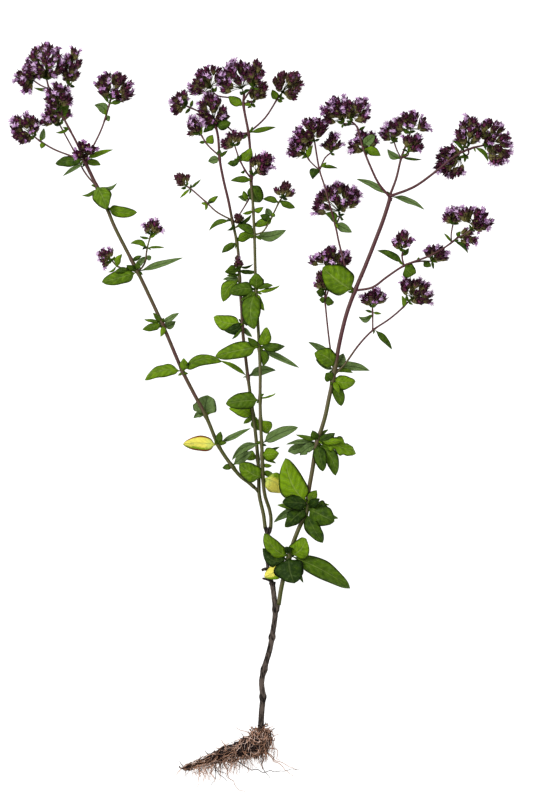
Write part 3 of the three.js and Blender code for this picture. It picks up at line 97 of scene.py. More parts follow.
INNER_STEM = {
    "ripening": [
        [-87, 0.1], [10, 0.15], [40, 0.6], [90, 0.6], [120, 0.35], [146, 0.25], [168, 0.85],
        [240, 1],
    ],
    "lines": [
        grow(1.65, 1.03, [
            [5.2, -87.4, 11], [4, -78, 11], [0.6, -62.4, 11], [0.2, -50, 11], [-0.2, -38, 11],
            [-1.7, -19.6, 10.5], [-4, 0.4, 10], [-6.5, 17.6, 10], [-8.5, 32.4, 10], [-10.5, 49.2, 10],
            [-12.6, 68.4, 10], [-13.7, 88.8, 10.5], [-15.1, 108.4, 11], [-15.7, 125.4, 12],
            [-17.2, 139.6, 13], [-21, 157.6, 15], [-24, 173.2, 17], [-28, 190, 19], [-31, 206.2, 21.5],
            [-32.2, 223.6, 23], [-34.2, 233.4, 24.5],
        ], "inner_head_top", 106, 12, 11.5, 26.4, 0.8, 1.9),
        grow(0.7, 0.6, [
            [-21, 158, 15], [-33.4, 164.6, 15], [-41, 171.6, 14], [-54.2, 183.2, 12], [-57.6, 185.5, 11],
        ], "inner_head_low_side", 134, 5, 8, 13.1, 0.2, 1.15),
        grow(0.7, 0.6, [
            [-31.5, 209, 23], [-40.8, 218, 20], [-46.8, 227.8, 16],
        ], "inner_head_side", 131, 0, 9.2, 14.3, 1, 1.3),
        grow(0.7, 0.6, [
            [-34, 229, 25.5], [-40, 239.4, 14], [-48.8, 245.8, 11], [-58, 250, 10],
        ], "inner_head_far_side", 149, 0, 11.1, 13.3, 0.7, 1.3),
        grow(0.7, 0.6, [
            [-20, 152, 14], [-17, 152.6, 18], [-15, 155, 20.5],
        ], "inner_head_middle", 118, 25, 5.1, 9.3, 0.2, 1.15),
        grow(0.6, 0.6, [[-20.5, 155, 14.5], [-12, 167.8, 13], [-7, 176.4, 12]]),
        grow(0.7, 0.6, [
            [-16, 116, 11.5], [-17.4, 119, 15], [-16.7, 119.6, 18],
        ], "inner_head_low", 92, 30, 4.2, 10.5, 0.2, 1.15),
        grow(1.4, 1.3, [[0.3, -60.5, 11], [-1.8, -57.5, 11.3], [-4, -55.5, 11.8]]),
    ],
    "leaves": [
        [-1, -33, -10.7, -34.1, 3, 7.9, 10, -0.23], [-4, 0, -23.9, 7.4, 3, 10.2, 8, -0.09, BRIGHT],
        [-4, 1, -12.2, -5.2, 4, 3.9, 0, 0], [-4.2, 0, 0.8, -10.5, 5, 8.2, 0, -0.02],
        [-8.5, 32, -31.8, 45.7, 5, 4, 15, -0.04], [-8.5, 32, 14, 37.9, 4, 7.5, 178, 0.12],
        [-14, 76, -36.2, 80.7, 6, 12.9, 5, 0.12, 0.9], [-14, 76, -27.2, 69.2, 14, 8.6, -10, 0.16, DARK],
        [-13.7, 73, -21.3, 62.5, 13, 3.4, 30, 0.06], [-13.5, 73, -5, 64.7, 7, 4.2, 178, -0.06],
        [-14, 77, -6.8, 79.2, 13, 5.7, 0, -0.25], [-15.8, 110, -28.6, 92.8, 12, 10.8, 0, -0.14, 0.65],
        [-15.8, 111, -28.8, 111.1, 6, 5.2, 190, -0.04], [-16, 113, -25.8, 113.4, 12, 3.4, 20, -0.1],
        [-16.2, 118, -27.1, 116.4, 20, 7.5, -8, -0.09], [-16.2, 118, -1.2, 116.9, 8, 3.8, 15, -0.04],
        [-16.4, 121, -4.4, 123.2, 11, 2.3, 30, -0.13], [-18, 140, -29.6, 132.1, 9, 5.4, 0, -0.03],
        [-18, 141, -3.8, 148, 14, 7.5, 0, 0.04], [-20.8, 157, -39.9, 149.6, 9, 4.2, 0, -0.16],
        [-20.5, 155, -25.5, 149.7, 20, 2.5, 0, 0.23], [-14, 152, -4.6, 152.7, 15, 3.1, 10, 0.1],
        [-14, 153, -5.6, 162.6, 17, 3.2, 0, -0.1], [-41, 172, -32.2, 177.4, 17, 4.2, 0, -0.04],
        [-41, 172, -46, 171.9, 13, 2.5, 0, 0.07], [-42, 173, -42.7, 165.9, 12, 2.5, 0, 0.1],
        [-54, 184.5, -46, 191, 14, 2.2, 20, 0], [-54, 184.5, -63, 176, 10, 2.5, 20, 0.02],
        [-10, 173, -16.8, 176.8, 14, 4, 180, -0.2], [-9.5, 175, -12, 181.8, 14, 4.8, 0, 0.09],
        [-31, 207, -40.4, 204.8, 20, 6.5, 178, -0.01], [-31, 208, -24.4, 213.1, 26, 2.9, 0, -0.01],
        [-31.3, 208, -30.6, 213.4, 28, 4.2, 180, 0.05], [-40.5, 220.5, -36.4, 225.8, 23, 6.9, 0, -0.11],
        [-41, 221, -47.5, 220.2, 19, 2.6, 0, 0.02], [-45.4, 225.3, -45, 234, 19, 2.5, 0, 0.08],
        [-34.7, 233, -21.8, 234.9, 30, 8.8, 0, -0.04], [-34.7, 233, -44.1, 227.3, 27, 5.5, 0, -0.08],
        [-54, 249.5, -52.7, 254.6, 11, 2.7, 0, 0.03], [-54, 249.5, -59, 243.9, 9, 2.6, 0, 0.02],
    ],
}

LEFT_STEM = {
    "ripening": [[-55, 0.15], [-8, 0.3], [12, 0.6], [98, 0.45], [150, 0.35], [186, 0.75], [270, 1]],
    "lines": [
        grow(1.6, 1.5, [
            [-4.5, -55.1, 12], [-8, -52, 12], [-14.6, -47, 12.5], [-21, -39.2, 13], [-31.4, -23.8, 14],
            [-42, 0.8, 15], [-52.4, 20.4, 15.5], [-60.8, 37, 16], [-76.8, 74.4, 17], [-90, 102.8, 17.5],
            [-96.6, 116.4, 18], [-115.8, 154, 18], [-121.6, 168.4, 18], [-129.2, 184.4, 18],
            [-140.2, 207.4, 18],
        ]),
        grow(1, 0.7, [
            [-138.5, 206, 18], [-144.8, 218.4, 18], [-156.2, 240.4, 17], [-160.6, 253, 16],
            [-167.8, 264, 16], [-169.5, 270.5, 16],
        ], "left_head_top", 94, 0, 16.1, 29.5, 1.2, 1.9),
        grow(0.6, 0.6, [
            [-166.5, 263, 16], [-175.2, 266.6, 13], [-180.4, 270.2, 12],
        ], "left_head_outer_top", 176, 0, 11.4, 15.1, 1.2, 1.7),
        grow(0.6, 0.6, [
            [-159, 249, 16.5], [-157, 261, 12], [-152.5, 266.5, 7.6],
        ], "left_head_top_right", 83, 0, 7.2, 31.2, 1, 1.7),
        grow(0.6, 0.6, [
            [-156, 242, 17], [-158, 246.5, 23], [-159.2, 246.6, 27],
        ], "left_head_inner", 96, 22, 11.6, 21.7, 0.9, 1.3),
        grow(0.75, 0.6, [
            [-130, 184, 18], [-139.2, 196.4, 12], [-147.4, 212.4, 9.5], [-159.5, 234.7, 8.3],
        ], "left_head_low", 122, 2, 13.2, 18.7, 1.6, 1.3),
        grow(0.8, 0.65, [
            [-138.5, 206, 18], [-152.4, 210.2, 17], [-164.2, 215, 15], [-176.2, 222.3, 14],
            [-179.5, 225, 14],
        ], "left_head_outer", 142, 0, 13.2, 22.7, 0.9, 1.9),
        grow(0.8, 0.65, [
            [-138.5, 206, 18], [-132.6, 216.6, 18], [-125.8, 230.6, 17], [-121.5, 243.4, 16],
            [-118.2, 255.3, 15],
        ], "left_head_right", 72, 0, 16.6, 22.3, 0.6, 1.9),
        grow(0.7, 0.6, [
            [-138.5, 205, 18], [-136.4, 206, 22], [-137, 207.6, 25],
        ], "left_head_fork", 108, 55, 9, 16.8, 0.5, 1.3),
        grow(0.8, 0.6, [
            [-97, 116, 18], [-91.2, 123.2, 17], [-89.2, 135.4, 16], [-86.3, 146.3, 15],
        ], "left_head_branch", 87, 0, 9.2, 12.4, 1.1, 1.3),
        grow(0.7, 0.6, [
            [-97, 116, 18], [-103.6, 118.6, 20], [-112.2, 120.4, 20], [-117, 125.2, 19],
        ], "left_head_small", 151, 0, 8.6, 12.6, 2, 1.3),
    ],
    "leaves": [
        [-21, -40, -29.2, -40.5, 10, 5, 0, -0.05], [-21, -39, -5.2, -27.4, 23, 8.2, 165, 0.06],
        [-32, -22, -60.8, -21.6, 9, 11.9, 5, -0.04, SCORCHED], [-31.5, -21, -6, -8.5, 19, 5.2, 160, 0.04],
        [-32, -21, -30, -11.1, 21, 6.6, 0, 0], [-32, -21, -25.2, -20.2, 20, 3.5, 0, 0.04],
        [-42.5, 1, -41.1, 18, 4, 18.4, 180, 0.06], [-43, 2, -52.2, -0.6, 13, 5.1, 160, -0.17],
        [-60, 37, -91.2, 29.8, 14, 10.6, 18, -0.11, 0.7], [-60, 37, -29.1, 44.7, 19, 9.5, -22, 0.12, 0.6],
        [-60.5, 38, -59.7, 47.5, 23, 7.5, 0, -0.1], [-60.5, 38, -55.1, 44.4, 21, 4.2, 10, 0.04, 0.2],
        [-76.5, 75, -93, 70.4, 19, 6.8, 15, 0.04], [-77, 76, -91.7, 78.5, 13, 3.6, 30, 0.02],
        [-77, 76, -63.4, 83.7, 20, 5, 165, 0], [-76, 74, -66.4, 77.2, 11, 6.5, 170, -0.14],
        [-76, 74, -78.4, 64.5, 21, 4.2, 0, 0.11], [-77.5, 77, -84.5, 83.7, 22, 4.5, 20, 0.02],
        [-97, 116, -125.3, 108.3, 20, 11.8, 0, 0.03], [-97, 116, -59.8, 127.9, 20, 6, 165, 0.04],
        [-98, 118, -105.4, 121.7, 25, 5.1, 0, 0.03], [-99, 120, -90.7, 128.5, 24, 5.2, 180, -0.02],
        [-98.5, 119, -95.4, 124, 27, 5.2, 0, -0.06], [-101, 125, -93.2, 129.3, 21, 3.8, 20, 0.05],
        [-122, 168, -97, 163.9, 21, 9.1, 15, -0.05], [-130, 184, -119.9, 166.4, 30, 15.5, 0, 0.04, 0.6],
        [-130, 183, -141.4, 177.7, 17, 3.9, 25, 0.19], [-130, 184, -113, 187.6, 20, 4.2, 165, -0.18],
        [-138.5, 206, -163.1, 203.7, 10, 9, 5, -0.02], [-138, 204, -156.6, 193, 19, 3.5, 160, -0.01],
        [-138.5, 206, -115.8, 214, 23, 4.5, 15, 0.06], [-138, 204, -126.4, 202.3, 13, 5.6, 10, 0.12],
        [-104, 117, -115.3, 116, 24, 5, 0, -0.04], [-112, 121, -108.8, 130.7, 22, 5.5, 10, 0.19],
        [-113, 122, -121.1, 116.4, 17, 2.2, 20, 0.18], [-90, 136, -102.8, 139.4, 14, 4.9, 0, -0.18],
        [-90, 136, -75.2, 136.1, 14, 2.2, 20, 0.06], [-91, 127, -85.7, 128.9, 20, 4.5, 180, -0.03],
        [-88.8, 144, -95.5, 145.1, 15, 2.2, 0, 0.05], [-88.8, 144, -81.7, 148, 14, 2.6, 0, 0],
        [-174.5, 221, -171.8, 231.7, 15, 4.8, 180, -0.02], [-174, 220.5, -173.9, 215.2, 16, 4.5, 0, 0.18],
        [-124, 242, -131.5, 250.2, 17, 8, 180, -0.26], [-125, 239, -118.8, 241, 19, 5, 180, -0.04],
        [-121, 251, -129.8, 261.9, 13, 2.9, 0, -0.11], [-120.5, 252, -108.4, 257.1, 14, 4.2, 0, -0.14],
        [-167, 264, -179.8, 263.8, 20, 3, 10, 0.12], [-151.5, 231, -162.5, 228, 16, 3.1, 20, 0.1],
        [-156, 241, -151.2, 250.9, 17, 5.8, 0, 0.12],
    ],
}

MIDDLE_STEM = {
    "ripening": [[-87, 0.05], [0, 0.2], [50, 0.1], [110, 0.15], [165, 0.3], [197, 0.75], [250, 1]],
    "lines": [
        grow(1.55, 1.05, [
            [9.8, -87.3, 12.1], [10, -81, 13], [8.8, -73.8, 14], [5.3, -63, 17], [3.6, -50, 20],
            [3, -30.4, 23], [2, -10.4, 24], [1.3, 14.2, 24], [1.4, 35.8, 24], [0.5, 57.4, 24], [-1, 85, 25],
            [-2.2, 104.4, 25], [-2.7, 124.6, 25], [-3.3, 146.8, 25], [-4.5, 170.8, 25], [-5.9, 189, 25],
            [-6.6, 212.8, 25], [-8, 227.4, 25], [-12, 250, 24], [-11.5, 258.4, 22],
        ], "middle_head_top", 116, 0, 16, 28.7, 0.8, 1.15),
        grow(0.75, 0.6, [
            [-3.3, 146, 25], [3, 147.8, 25], [8.8, 156.6, 24], [12.8, 164.6, 22], [16.8, 173, 18],
            [18.8, 175.7, 16],
        ], "middle_head_small_right", 75, 0, 8.5, 14.4, 0.2, 1.15),
        grow(0.75, 0.6, [
            [-5.6, 191, 25], [-9.8, 195.8, 27], [-15.2, 206, 29.5], [-18.8, 216.2, 31.5],
        ], "middle_head_small_left", 117, 0, 10, 11.9, 0.5, 1.15),
        grow(0.8, 0.7, [
            [-5.5, 188, 25], [-5, 190.5, 28.5], [-4.4, 193.4, 31],
        ], "middle_head_centre", 50, 8, 9, 22, 0.7, 1.15),
        grow(0.8, 0.65, [
            [-8, 227, 25], [5.4, 239.8, 19], [15, 255.2, 13.5], [16.2, 256.9, 12.5],
        ], "middle_head_outer_right", 55, 2, 13.3, 25, 0.2, 1.3),
        grow(0.75, 0.6, [
            [-8, 227, 25], [-17.6, 227.2, 24], [-24.7, 232.7, 19], [-27.1, 237.8, 14],
        ], "middle_head_inner_left", 102, 0, 4.3, 8.8, 0.9, 1.3),
        grow(0.7, 0.6, [
            [-12, 250, 24], [-21.2, 255.8, 14], [-33.4, 258.2, 12], [-36.6, 261.3, 13.1],
        ], "middle_head_left", 122, 4, 16.5, 20.7, 1.2, 1.3),
        grow(0.7, 0.6, [
            [-12, 250, 24], [-6, 252.8, 22], [-5.5, 252, 15],
        ], "middle_head_right", 58, 3, 7, 21.1, 0.4, 1.3),
        grow(0.7, 0.6, [
            [-12.5, 253, 24], [-7.6, 259, 31], [-4.5, 262.5, 35.2],
        ], "middle_head_crown", 84, 6, 7.2, 23.2, 0.5, 1.9),
    ],
    "leaves": [
        [3.8, -48, -15.5, -37.3, 25, 15.1, -8, 0.04, 0.65], [3.8, -48, 22.4, -59, 12, 16, 0, 0.06, YELLOW],
        [3.6, -43, 12.5, -46.1, 17, 4.9, 0, -0.04], [2.6, -21, 31.7, -7.8, 25, 9, 165, 0.08],
        [2.6, -21, -21.2, -34, 26, 6.8, 165, -0.12], [3, -29, 17.2, -23.4, 20, 3.1, 20, 0.04],
        [3, -30, 16.5, -28.3, 26, 11.2, 0, 0, 0.8], [3, -32, 14.2, -36.7, 24, 3.4, 0, 0.04],
        [3.3, -38, 10.8, -38.7, 19, 3.5, 0, -0.02], [2, -2, 7.6, -13.1, 17, 10, 0, 0.1, 0.75],
        [1.3, 14, -26.2, 10.9, 27, 13.8, -5, -0.04, 0.45], [1.3, 16, 13.8, 19.8, 26, 2.9, 60, -0.04],
        [0.6, 56, -34.5, 48.8, 27, 13, 5, -0.03, 0.65], [0.5, 57, -8.6, 63.9, 31, 5.6, 0, 0.06],
        [0.5, 57, 6.9, 71.9, 33, 9.5, 0, -0.1, 0.7], [0.5, 57, 21.2, 56.9, 29, 8, 0, -0.04],
        [0.6, 55, 32.6, 39.7, 21, 5.4, 168, 0.02], [0.6, 55, 3.7, 40.7, 20, 7.4, 0, 0.19],
        [-3, 103, -1.9, 115.1, 34, 12.2, 0, -0.02, 0.5], [-2.8, 102, -23.1, 99.4, 28, 11.6, 0, -0.1],
        [-2.7, 100, -3.5, 70.2, 31, 16.1, 0, -0.11, 0.5], [-2.7, 100, 4.8, 85.3, 21, 6.1, 0, -0.06],
        [-3, 103, 11.7, 105.5, 29, 5, 20, 0.08], [-2.8, 101, 17.1, 105.7, 22, 4.5, 40, -0.04],
        [-2.8, 101, -14.2, 93, 25, 6.2, 0, 0], [-3.3, 145, 22.2, 149.9, 20, 8.5, 170, -0.08],
        [-3.4, 146, -17.3, 153, 29, 6.6, 0, -0.09], [9, 159, -4.2, 153.2, 22, 6.8, 0, 0.04],
        [9, 159, 1.2, 161.5, 28, 5.5, 0, 0.02], [10, 161, 6.1, 166.8, 28, 5.8, 180, 0.07],
        [10, 161, 13.3, 162.4, 25, 3.8, 0, 0.08], [15.5, 172, 3.3, 174.8, 19, 5.2, 0, -0.11],
        [16, 173, 29.4, 167.8, 14, 5.6, 0, 0], [-4.2, 165, 4.1, 167.7, 29, 4.6, 0, -0.11],
        [-4.2, 165, -12.8, 162.4, 29, 2.9, 0, 0.06], [-5.5, 187, 1.1, 172.2, 15, 12.5, 0, -0.04],
        [-5.5, 189, -22.3, 188.9, 27, 5.3, 10, -0.04], [-9.5, 198, -14.4, 195.7, 25, 2.2, 0, 0.18],
        [-13.5, 205, -24.9, 202.8, 25, 5.2, 10, 0.09], [-13.5, 205, -5.7, 214.6, 32, 9.1, 0, -0.14],
        [-14, 206, -16.9, 208.4, 31, 3.5, 0, 0.06], [-8, 227, 14.1, 232, 23, 4.1, 0, 0],
        [-8, 226, -17.4, 224.4, 25, 4, 170, 0.1], [14, 254.5, 11, 262.4, 18, 5.9, 0, -0.01],
        [14.5, 255, 19.5, 253.4, 12, 3, 0, -0.06], [-12, 250, -24, 256.8, 21, 7.8, 0, 0.08],
        [-12, 249, -5.3, 246.5, 27, 3.2, 0, 0.28],
    ],
}

RIGHT_STEM = {
    "ripening": [[-150, 0.1], [-50, 0.3], [40, 0.4], [62, 0.8], [100, 1], [240, 0.95]],
    "lines": [
        grow(1.9, 1.68, [
            [16.4, -148.4, 13.1], [18, -138, 14], [21.2, -123.6, 15.5], [24.4, -112, 17],
            [27.8, -100.2, 18.5], [32.2, -88.8, 20], [38.6, -74.4, 21], [39.9, -60, 22], [43, -42, 23],
            [46.2, -22.8, 24], [53, 0, 24.5], [56.7, 17.6, 25], [60.7, 36.4, 25.5], [64, 56.4, 26],
            [70, 81.8, 26], [76.4, 99.8, 26], [84.8, 119.8, 26], [93.8, 142.6, 26], [100.2, 159.6, 26],
            [105.2, 175.6, 26],
        ]),
        grow(0.9, 0.7, [
            [60, 34, 25.5], [68.4, 42, 26], [79.6, 57.4, 25], [90.2, 68.8, 23], [105, 79, 19],
            [114.8, 87.3, 15], [120.1, 92.8, 11.6],
        ], "right_head_low", 48, 0, 14.6, 21.7, 0.7, 1.3),
        grow(0.65, 0.6, [
            [91, 70, 23], [91.3, 78.6, 20], [91.2, 87.7, 17],
        ], "right_head_lowest", 81, 0, 11, 16.4, 1.3, 1.3),
        grow(0.8, 0.7, [
            [58.5, 36, 25], [57.8, 52, 20], [55.5, 71.2, 15], [54, 86.4, 12], [53.2, 97, 10.5],
            [54, 101.8, 10],
        ], "right_head_inner_low", 112, 0, 9, 16.3, 0.3, 1.15),
        grow(0.65, 0.6, [
            [54, 94, 11], [56.7, 105, 15], [57.5, 118.8, 17.5],
        ], "right_head_inner", 92, 0, 17.3, 17.7, 1.2, 1.3),
        grow(0.9, 0.7, [
            [76, 101, 26], [72.2, 107.2, 27], [68.6, 121.6, 30.5], [64.2, 139.2, 29], [61, 154.6, 27],
            [56.6, 170, 28.5], [52.6, 185, 26.5], [48.8, 197.4, 22], [44.7, 220.5, 25],
        ], "right_head_left", 115, 8, 14.7, 19.2, 0.8, 1.3),
        grow(0.6, 0.6, [
            [50.2, 198, 22], [41.2, 205.1, 17], [38.4, 210.8, 10.5],
        ], "right_head_far_left", 130, 0, 11.1, 18.5, 1, 1.15),
        grow(0.6, 0.6, [
            [50.2, 198, 22], [53.6, 208.2, 19], [57.7, 211.6, 18],
        ], "right_head_left_inner", 86, 0, 7.8, 16.8, 1.3, 1.3),
        grow(0.7, 0.6, [
            [61.5, 153, 23], [63.2, 156.6, 19], [65, 161, 15],
        ], "right_head_inner_top", 102, 0, 20.5, 26.9, 1.7, 1.3),
        grow(1, 0.7, [
            [76, 101, 26], [90.8, 103.8, 27], [102.2, 112, 26], [116.2, 121.2, 25], [135.4, 128.6, 24.5],
            [149.2, 136.2, 22.5], [157.4, 142.4, 19.5], [159.4, 144.5, 18],
        ], "right_head_side_low", -10, -25, 7.9, 17.9, 0.5, 1.3),
        grow(0.6, 0.6, [
            [154, 140, 18.5], [154.4, 147.2, 15], [155.8, 154.5, 13],
        ], "right_head_side_top", 88, 0, 9, 14.6, 1.1, 1.3),
        grow(0.6, 0.6, [
            [158, 142.5, 18], [164, 146, 25], [169.2, 150.2, 26],
        ], "right_head_side", 57, 2, 15.9, 19, 1.3, 1.3),
        grow(0.7, 0.6, [
            [116, 121.5, 24], [114.6, 128, 24], [114.9, 132.1, 24],
        ], "right_head_upright", 95, 0, 8.8, 17, 0.8, 1.15),
        grow(0.6, 0.6, [
            [117, 122, 24], [127.2, 124.7, 20], [138.2, 125.2, 15],
        ], "right_head_side_inner", 59, 0, 11.5, 15, 1.2, 1.15),
        grow(1.1, 0.7, [
            [104, 176, 26], [96.4, 185.8, 27], [89.8, 198.8, 28], [82.8, 216.6, 28], [78.2, 232.4, 27],
            [74, 236, 28.5],
        ], "right_head_crown_right", 63, 2, 11.9, 21.3, 1.2, 1.3),
        grow(0.65, 0.6, [
            [75.5, 232.5, 24], [73.4, 234.6, 20], [68.5, 235.7, 12],
        ], "right_head_crown_left", 114, 0, 14.4, 24, 1.6, 1.3),
        grow(0.65, 0.6, [
            [86, 212, 28], [86.5, 213, 22], [86.4, 213.3, 17],
        ], "right_head_behind", 113, 0, 12.6, 17.1, 1.1, 1.3),
        grow(1.1, 0.75, [
            [104, 176, 26], [109.8, 190.4, 25], [114, 207.2, 22], [118.8, 220.2, 22], [121.1, 227, 23],
        ], "right_head_centre", 84, 0, 15.4, 17.7, 1.5, 1.3),
        grow(0.6, 0.6, [
            [113.7, 207, 22], [110.2, 215.4, 17], [108.8, 220.3, 15],
        ], "right_head_centre_left", 103, 0, 11.1, 17.1, 1.5, 1.15),
        grow(0.6, 0.6, [
            [113.7, 207, 22], [119.4, 209.4, 29], [119, 211.5, 33],
        ], "right_head_centre_low", 57, 8, 9.8, 16.8, 0.6, 1.15),
        grow(1.2, 0.75, [
            [104, 176, 26], [124, 184, 26], [140.8, 195.8, 26], [155.4, 207.6, 25], [167.6, 214.4, 20],
            [180.4, 218, 16],
        ], "right_head_far", 18, 0, 20.2, 21.9, 0.8, 1.7),
        grow(0.65, 0.6, [
            [160, 210.7, 23.5], [163.8, 215.8, 19], [167, 216, 16],
        ], "right_head_far_inner", 86, 0, 10.4, 26.1, 1.1, 1.3),
        grow(0.65, 0.6, [
            [167.5, 213.7, 20], [168.5, 211.5, 17], [166.3, 209.7, 14.5],
        ], "right_head_far_low", 203, 0, 12.8, 27, 0.9, 1.25),
    ],
    "leaves": [
        [26, -112, 4.6, -92.4, 24, 12.6, 0, 0.11, 0.7], [26, -112, 3.2, -104.6, 18, 11.1, 0, 0.28, DARK],
        [26, -112, 28.6, -132.4, 24, 22.9, 0, -0.06, DARK],
        [27, -110, 38.2, -96.5, 27, 16.1, 0, -0.15, 0.8],
        [26.5, -111, 73.7, -137.5, 6, 14.4, 0, 0.04, 0.4],
        [24.5, -116, 4.7, -127.9, 17.5, 12.6, 0, 0.04, YELLOW],
        [25.5, -114, 36, -132.7, 12, 5.2, 170, 0.03], [27, -108, 21.7, -102.5, 31, 7, 0, 0, DARK],
        [38, -68, 21.4, -32.3, 30, 21, 0, 0.12, BRIGHT],
        [37.5, -70, 18.9, -67.3, 33, 12.2, 0, -0.06, DARK],
        [37, -72, 20.9, -87.3, 27, 12.1, 0, -0.06, 0.15, 0.6], [37.5, -70, 14.8, -70, 18, 6.5, 0, 0.04],
        [37, -71, 12.1, -84.2, 18, 7.2, 170, -0.08], [38, -68, 46.6, -58, 25, 8, 0, 0.01],
        [38, -69, 48.9, -64.5, 33, 7.6, 0, -0.08, DARK], [37.6, -70, 57.1, -70.1, 18, 3.4, 10, 0.05],
        [37, -72, 60.6, -83, 26, 18.2, 0, 0, 0.25, 0.7], [37, -72, 64.1, -80.8, 15, 6.8, 0, -0.02],
        [36, -76, 51.3, -100, 26, 12.1, 0, -0.03, 0.2, 0.7],
        [47.5, -20, 21.9, -21.5, 23, 4.1, 170, -0.04, ORDINARY, 1],
        [48, -18, 29.4, -13.5, 31, 4.1, 10, 0.04], [47.5, -20, 23.3, -27.3, 17, 9.8, 170, 0, DARK, 2.4],
        [47.3, -21, 32.9, -30.2, 28, 7.8, 180, -0.06, ORDINARY, 2.2],
        [47.3, -21, 51.3, -42.9, 31, 10, 0, 0.01, 0.2],
        [47.5, -20, 61.7, -46.4, 22, 10.8, 0, 0.12], [48, -18, 61, -12.1, 31, 8.4, 0, -0.11, ORDINARY, 1.2],
        [47.6, -19, 78, -29, 21, 14, 0, 0.06, 0.75, 3.4], [47.8, -18.5, 68.4, -18.2, 31, 6.5, 0, -0.05],
        [48, -17, 43, -10, 32, 6.4, 0, 0.1], [48.5, -15, 56, -9.5, 21, 2.7, 0, 0.04],
        [60.5, 40, 44.5, 51.6, 34, 14.6, 0, -0.15, 0.6], [61, 42, 39.6, 60.3, 25, 6.8, 170, -0.09],
        [60, 38, 45.5, 46.7, 21, 4.5, 180, 0.03], [60.5, 40, 89, 37.4, 20, 7.6, 165, 0.12],
        [61, 42, 67.9, 51.4, 20, 8.5, 180, -0.11], [60, 37, 75.6, 35.5, 20, 3.9, 0, 0.1],
        [58.5, 31, 53.5, 35.5, 32, 9.1, 0, 0.07], [58.5, 31, 77.5, 28.7, 26, 10.8, 0, -0.12],
        [58, 29, 66.3, 9.1, 21, 9.4, 0, 0.04], [58, 29, 64, 19, 30, 5.2, 0, 0.08],
        [92, 82, 79.7, 80.7, 23, 5, 170, 0.28], [92, 71, 106.9, 54.2, 18, 5.6, 10, 0.04],
        [91.9, 84, 85.2, 85.9, 20, 2.2, 0, 0], [91.9, 84, 98.5, 83, 18, 2.2, 0, -0.02],
        [116, 88.5, 114.6, 97.6, 19, 3.8, 0, -0.12], [53.7, 95, 48.6, 94.4, 13, 5.1, 0, 0.1],
        [54, 92, 60.5, 92.6, 16, 8, 0, 0.12], [53.4, 99, 46.1, 100.8, 13, 7, 0, -0.03],
        [76, 101, 51, 119.5, 34, 23.5, -8, 0.04, 0.65], [50.3, 198, 43.2, 190.1, 23, 7.1, 0, -0.26],
        [50, 200, 63.6, 198.9, 24, 3, 10, 0.08], [39.5, 209, 34.4, 207.1, 16, 2.4, 0, -0.13],
        [41, 208, 43.7, 217.7, 19, 4.2, 0, 0.11], [61, 155, 74.7, 147.8, 24, 6.9, 178, 0.01],
        [61, 154, 53, 162.9, 22, 6.9, 0, -0.26], [116.5, 122, 94.6, 133.3, 25, 6, -10, -0.1],
        [117, 122, 125.8, 115.2, 25, 12.2, 0, -0.24], [128, 123.5, 128, 128.1, 25, 2.6, 0, 0.04],
        [132, 123.6, 138.1, 120.7, 21, 5.5, 0, -0.05], [154, 140, 148.2, 147.3, 20, 2.2, 0, -0.04],
        [156, 141, 167.8, 131.3, 16, 3.2, 10, 0.14], [104, 176, 78, 190.7, 21, 5.5, 165, -0.04],
        [104, 175.5, 132.9, 166, 20, 5.1, 165, 0.11], [84, 217, 92.5, 225, 33, 8, 180, 0],
        [85, 214.5, 97.5, 208.8, 26, 7.5, 0, 0.08], [78, 228.5, 85.4, 232.4, 26, 2.2, 0, -0.01],
        [113.5, 207, 102.9, 214.4, 23, 5.9, 170, 0.16], [114, 208, 130.8, 206.2, 21, 2.3, 0, -0.03],
        [164, 212.5, 154.4, 221.2, 25, 3.2, 20, -0.07], [173, 215, 184, 204.6, 14, 3.5, 0, 0.16],
        [117, 129, 120.2, 135.4, 22, 3.6, 0, -0.05],
    ],
}

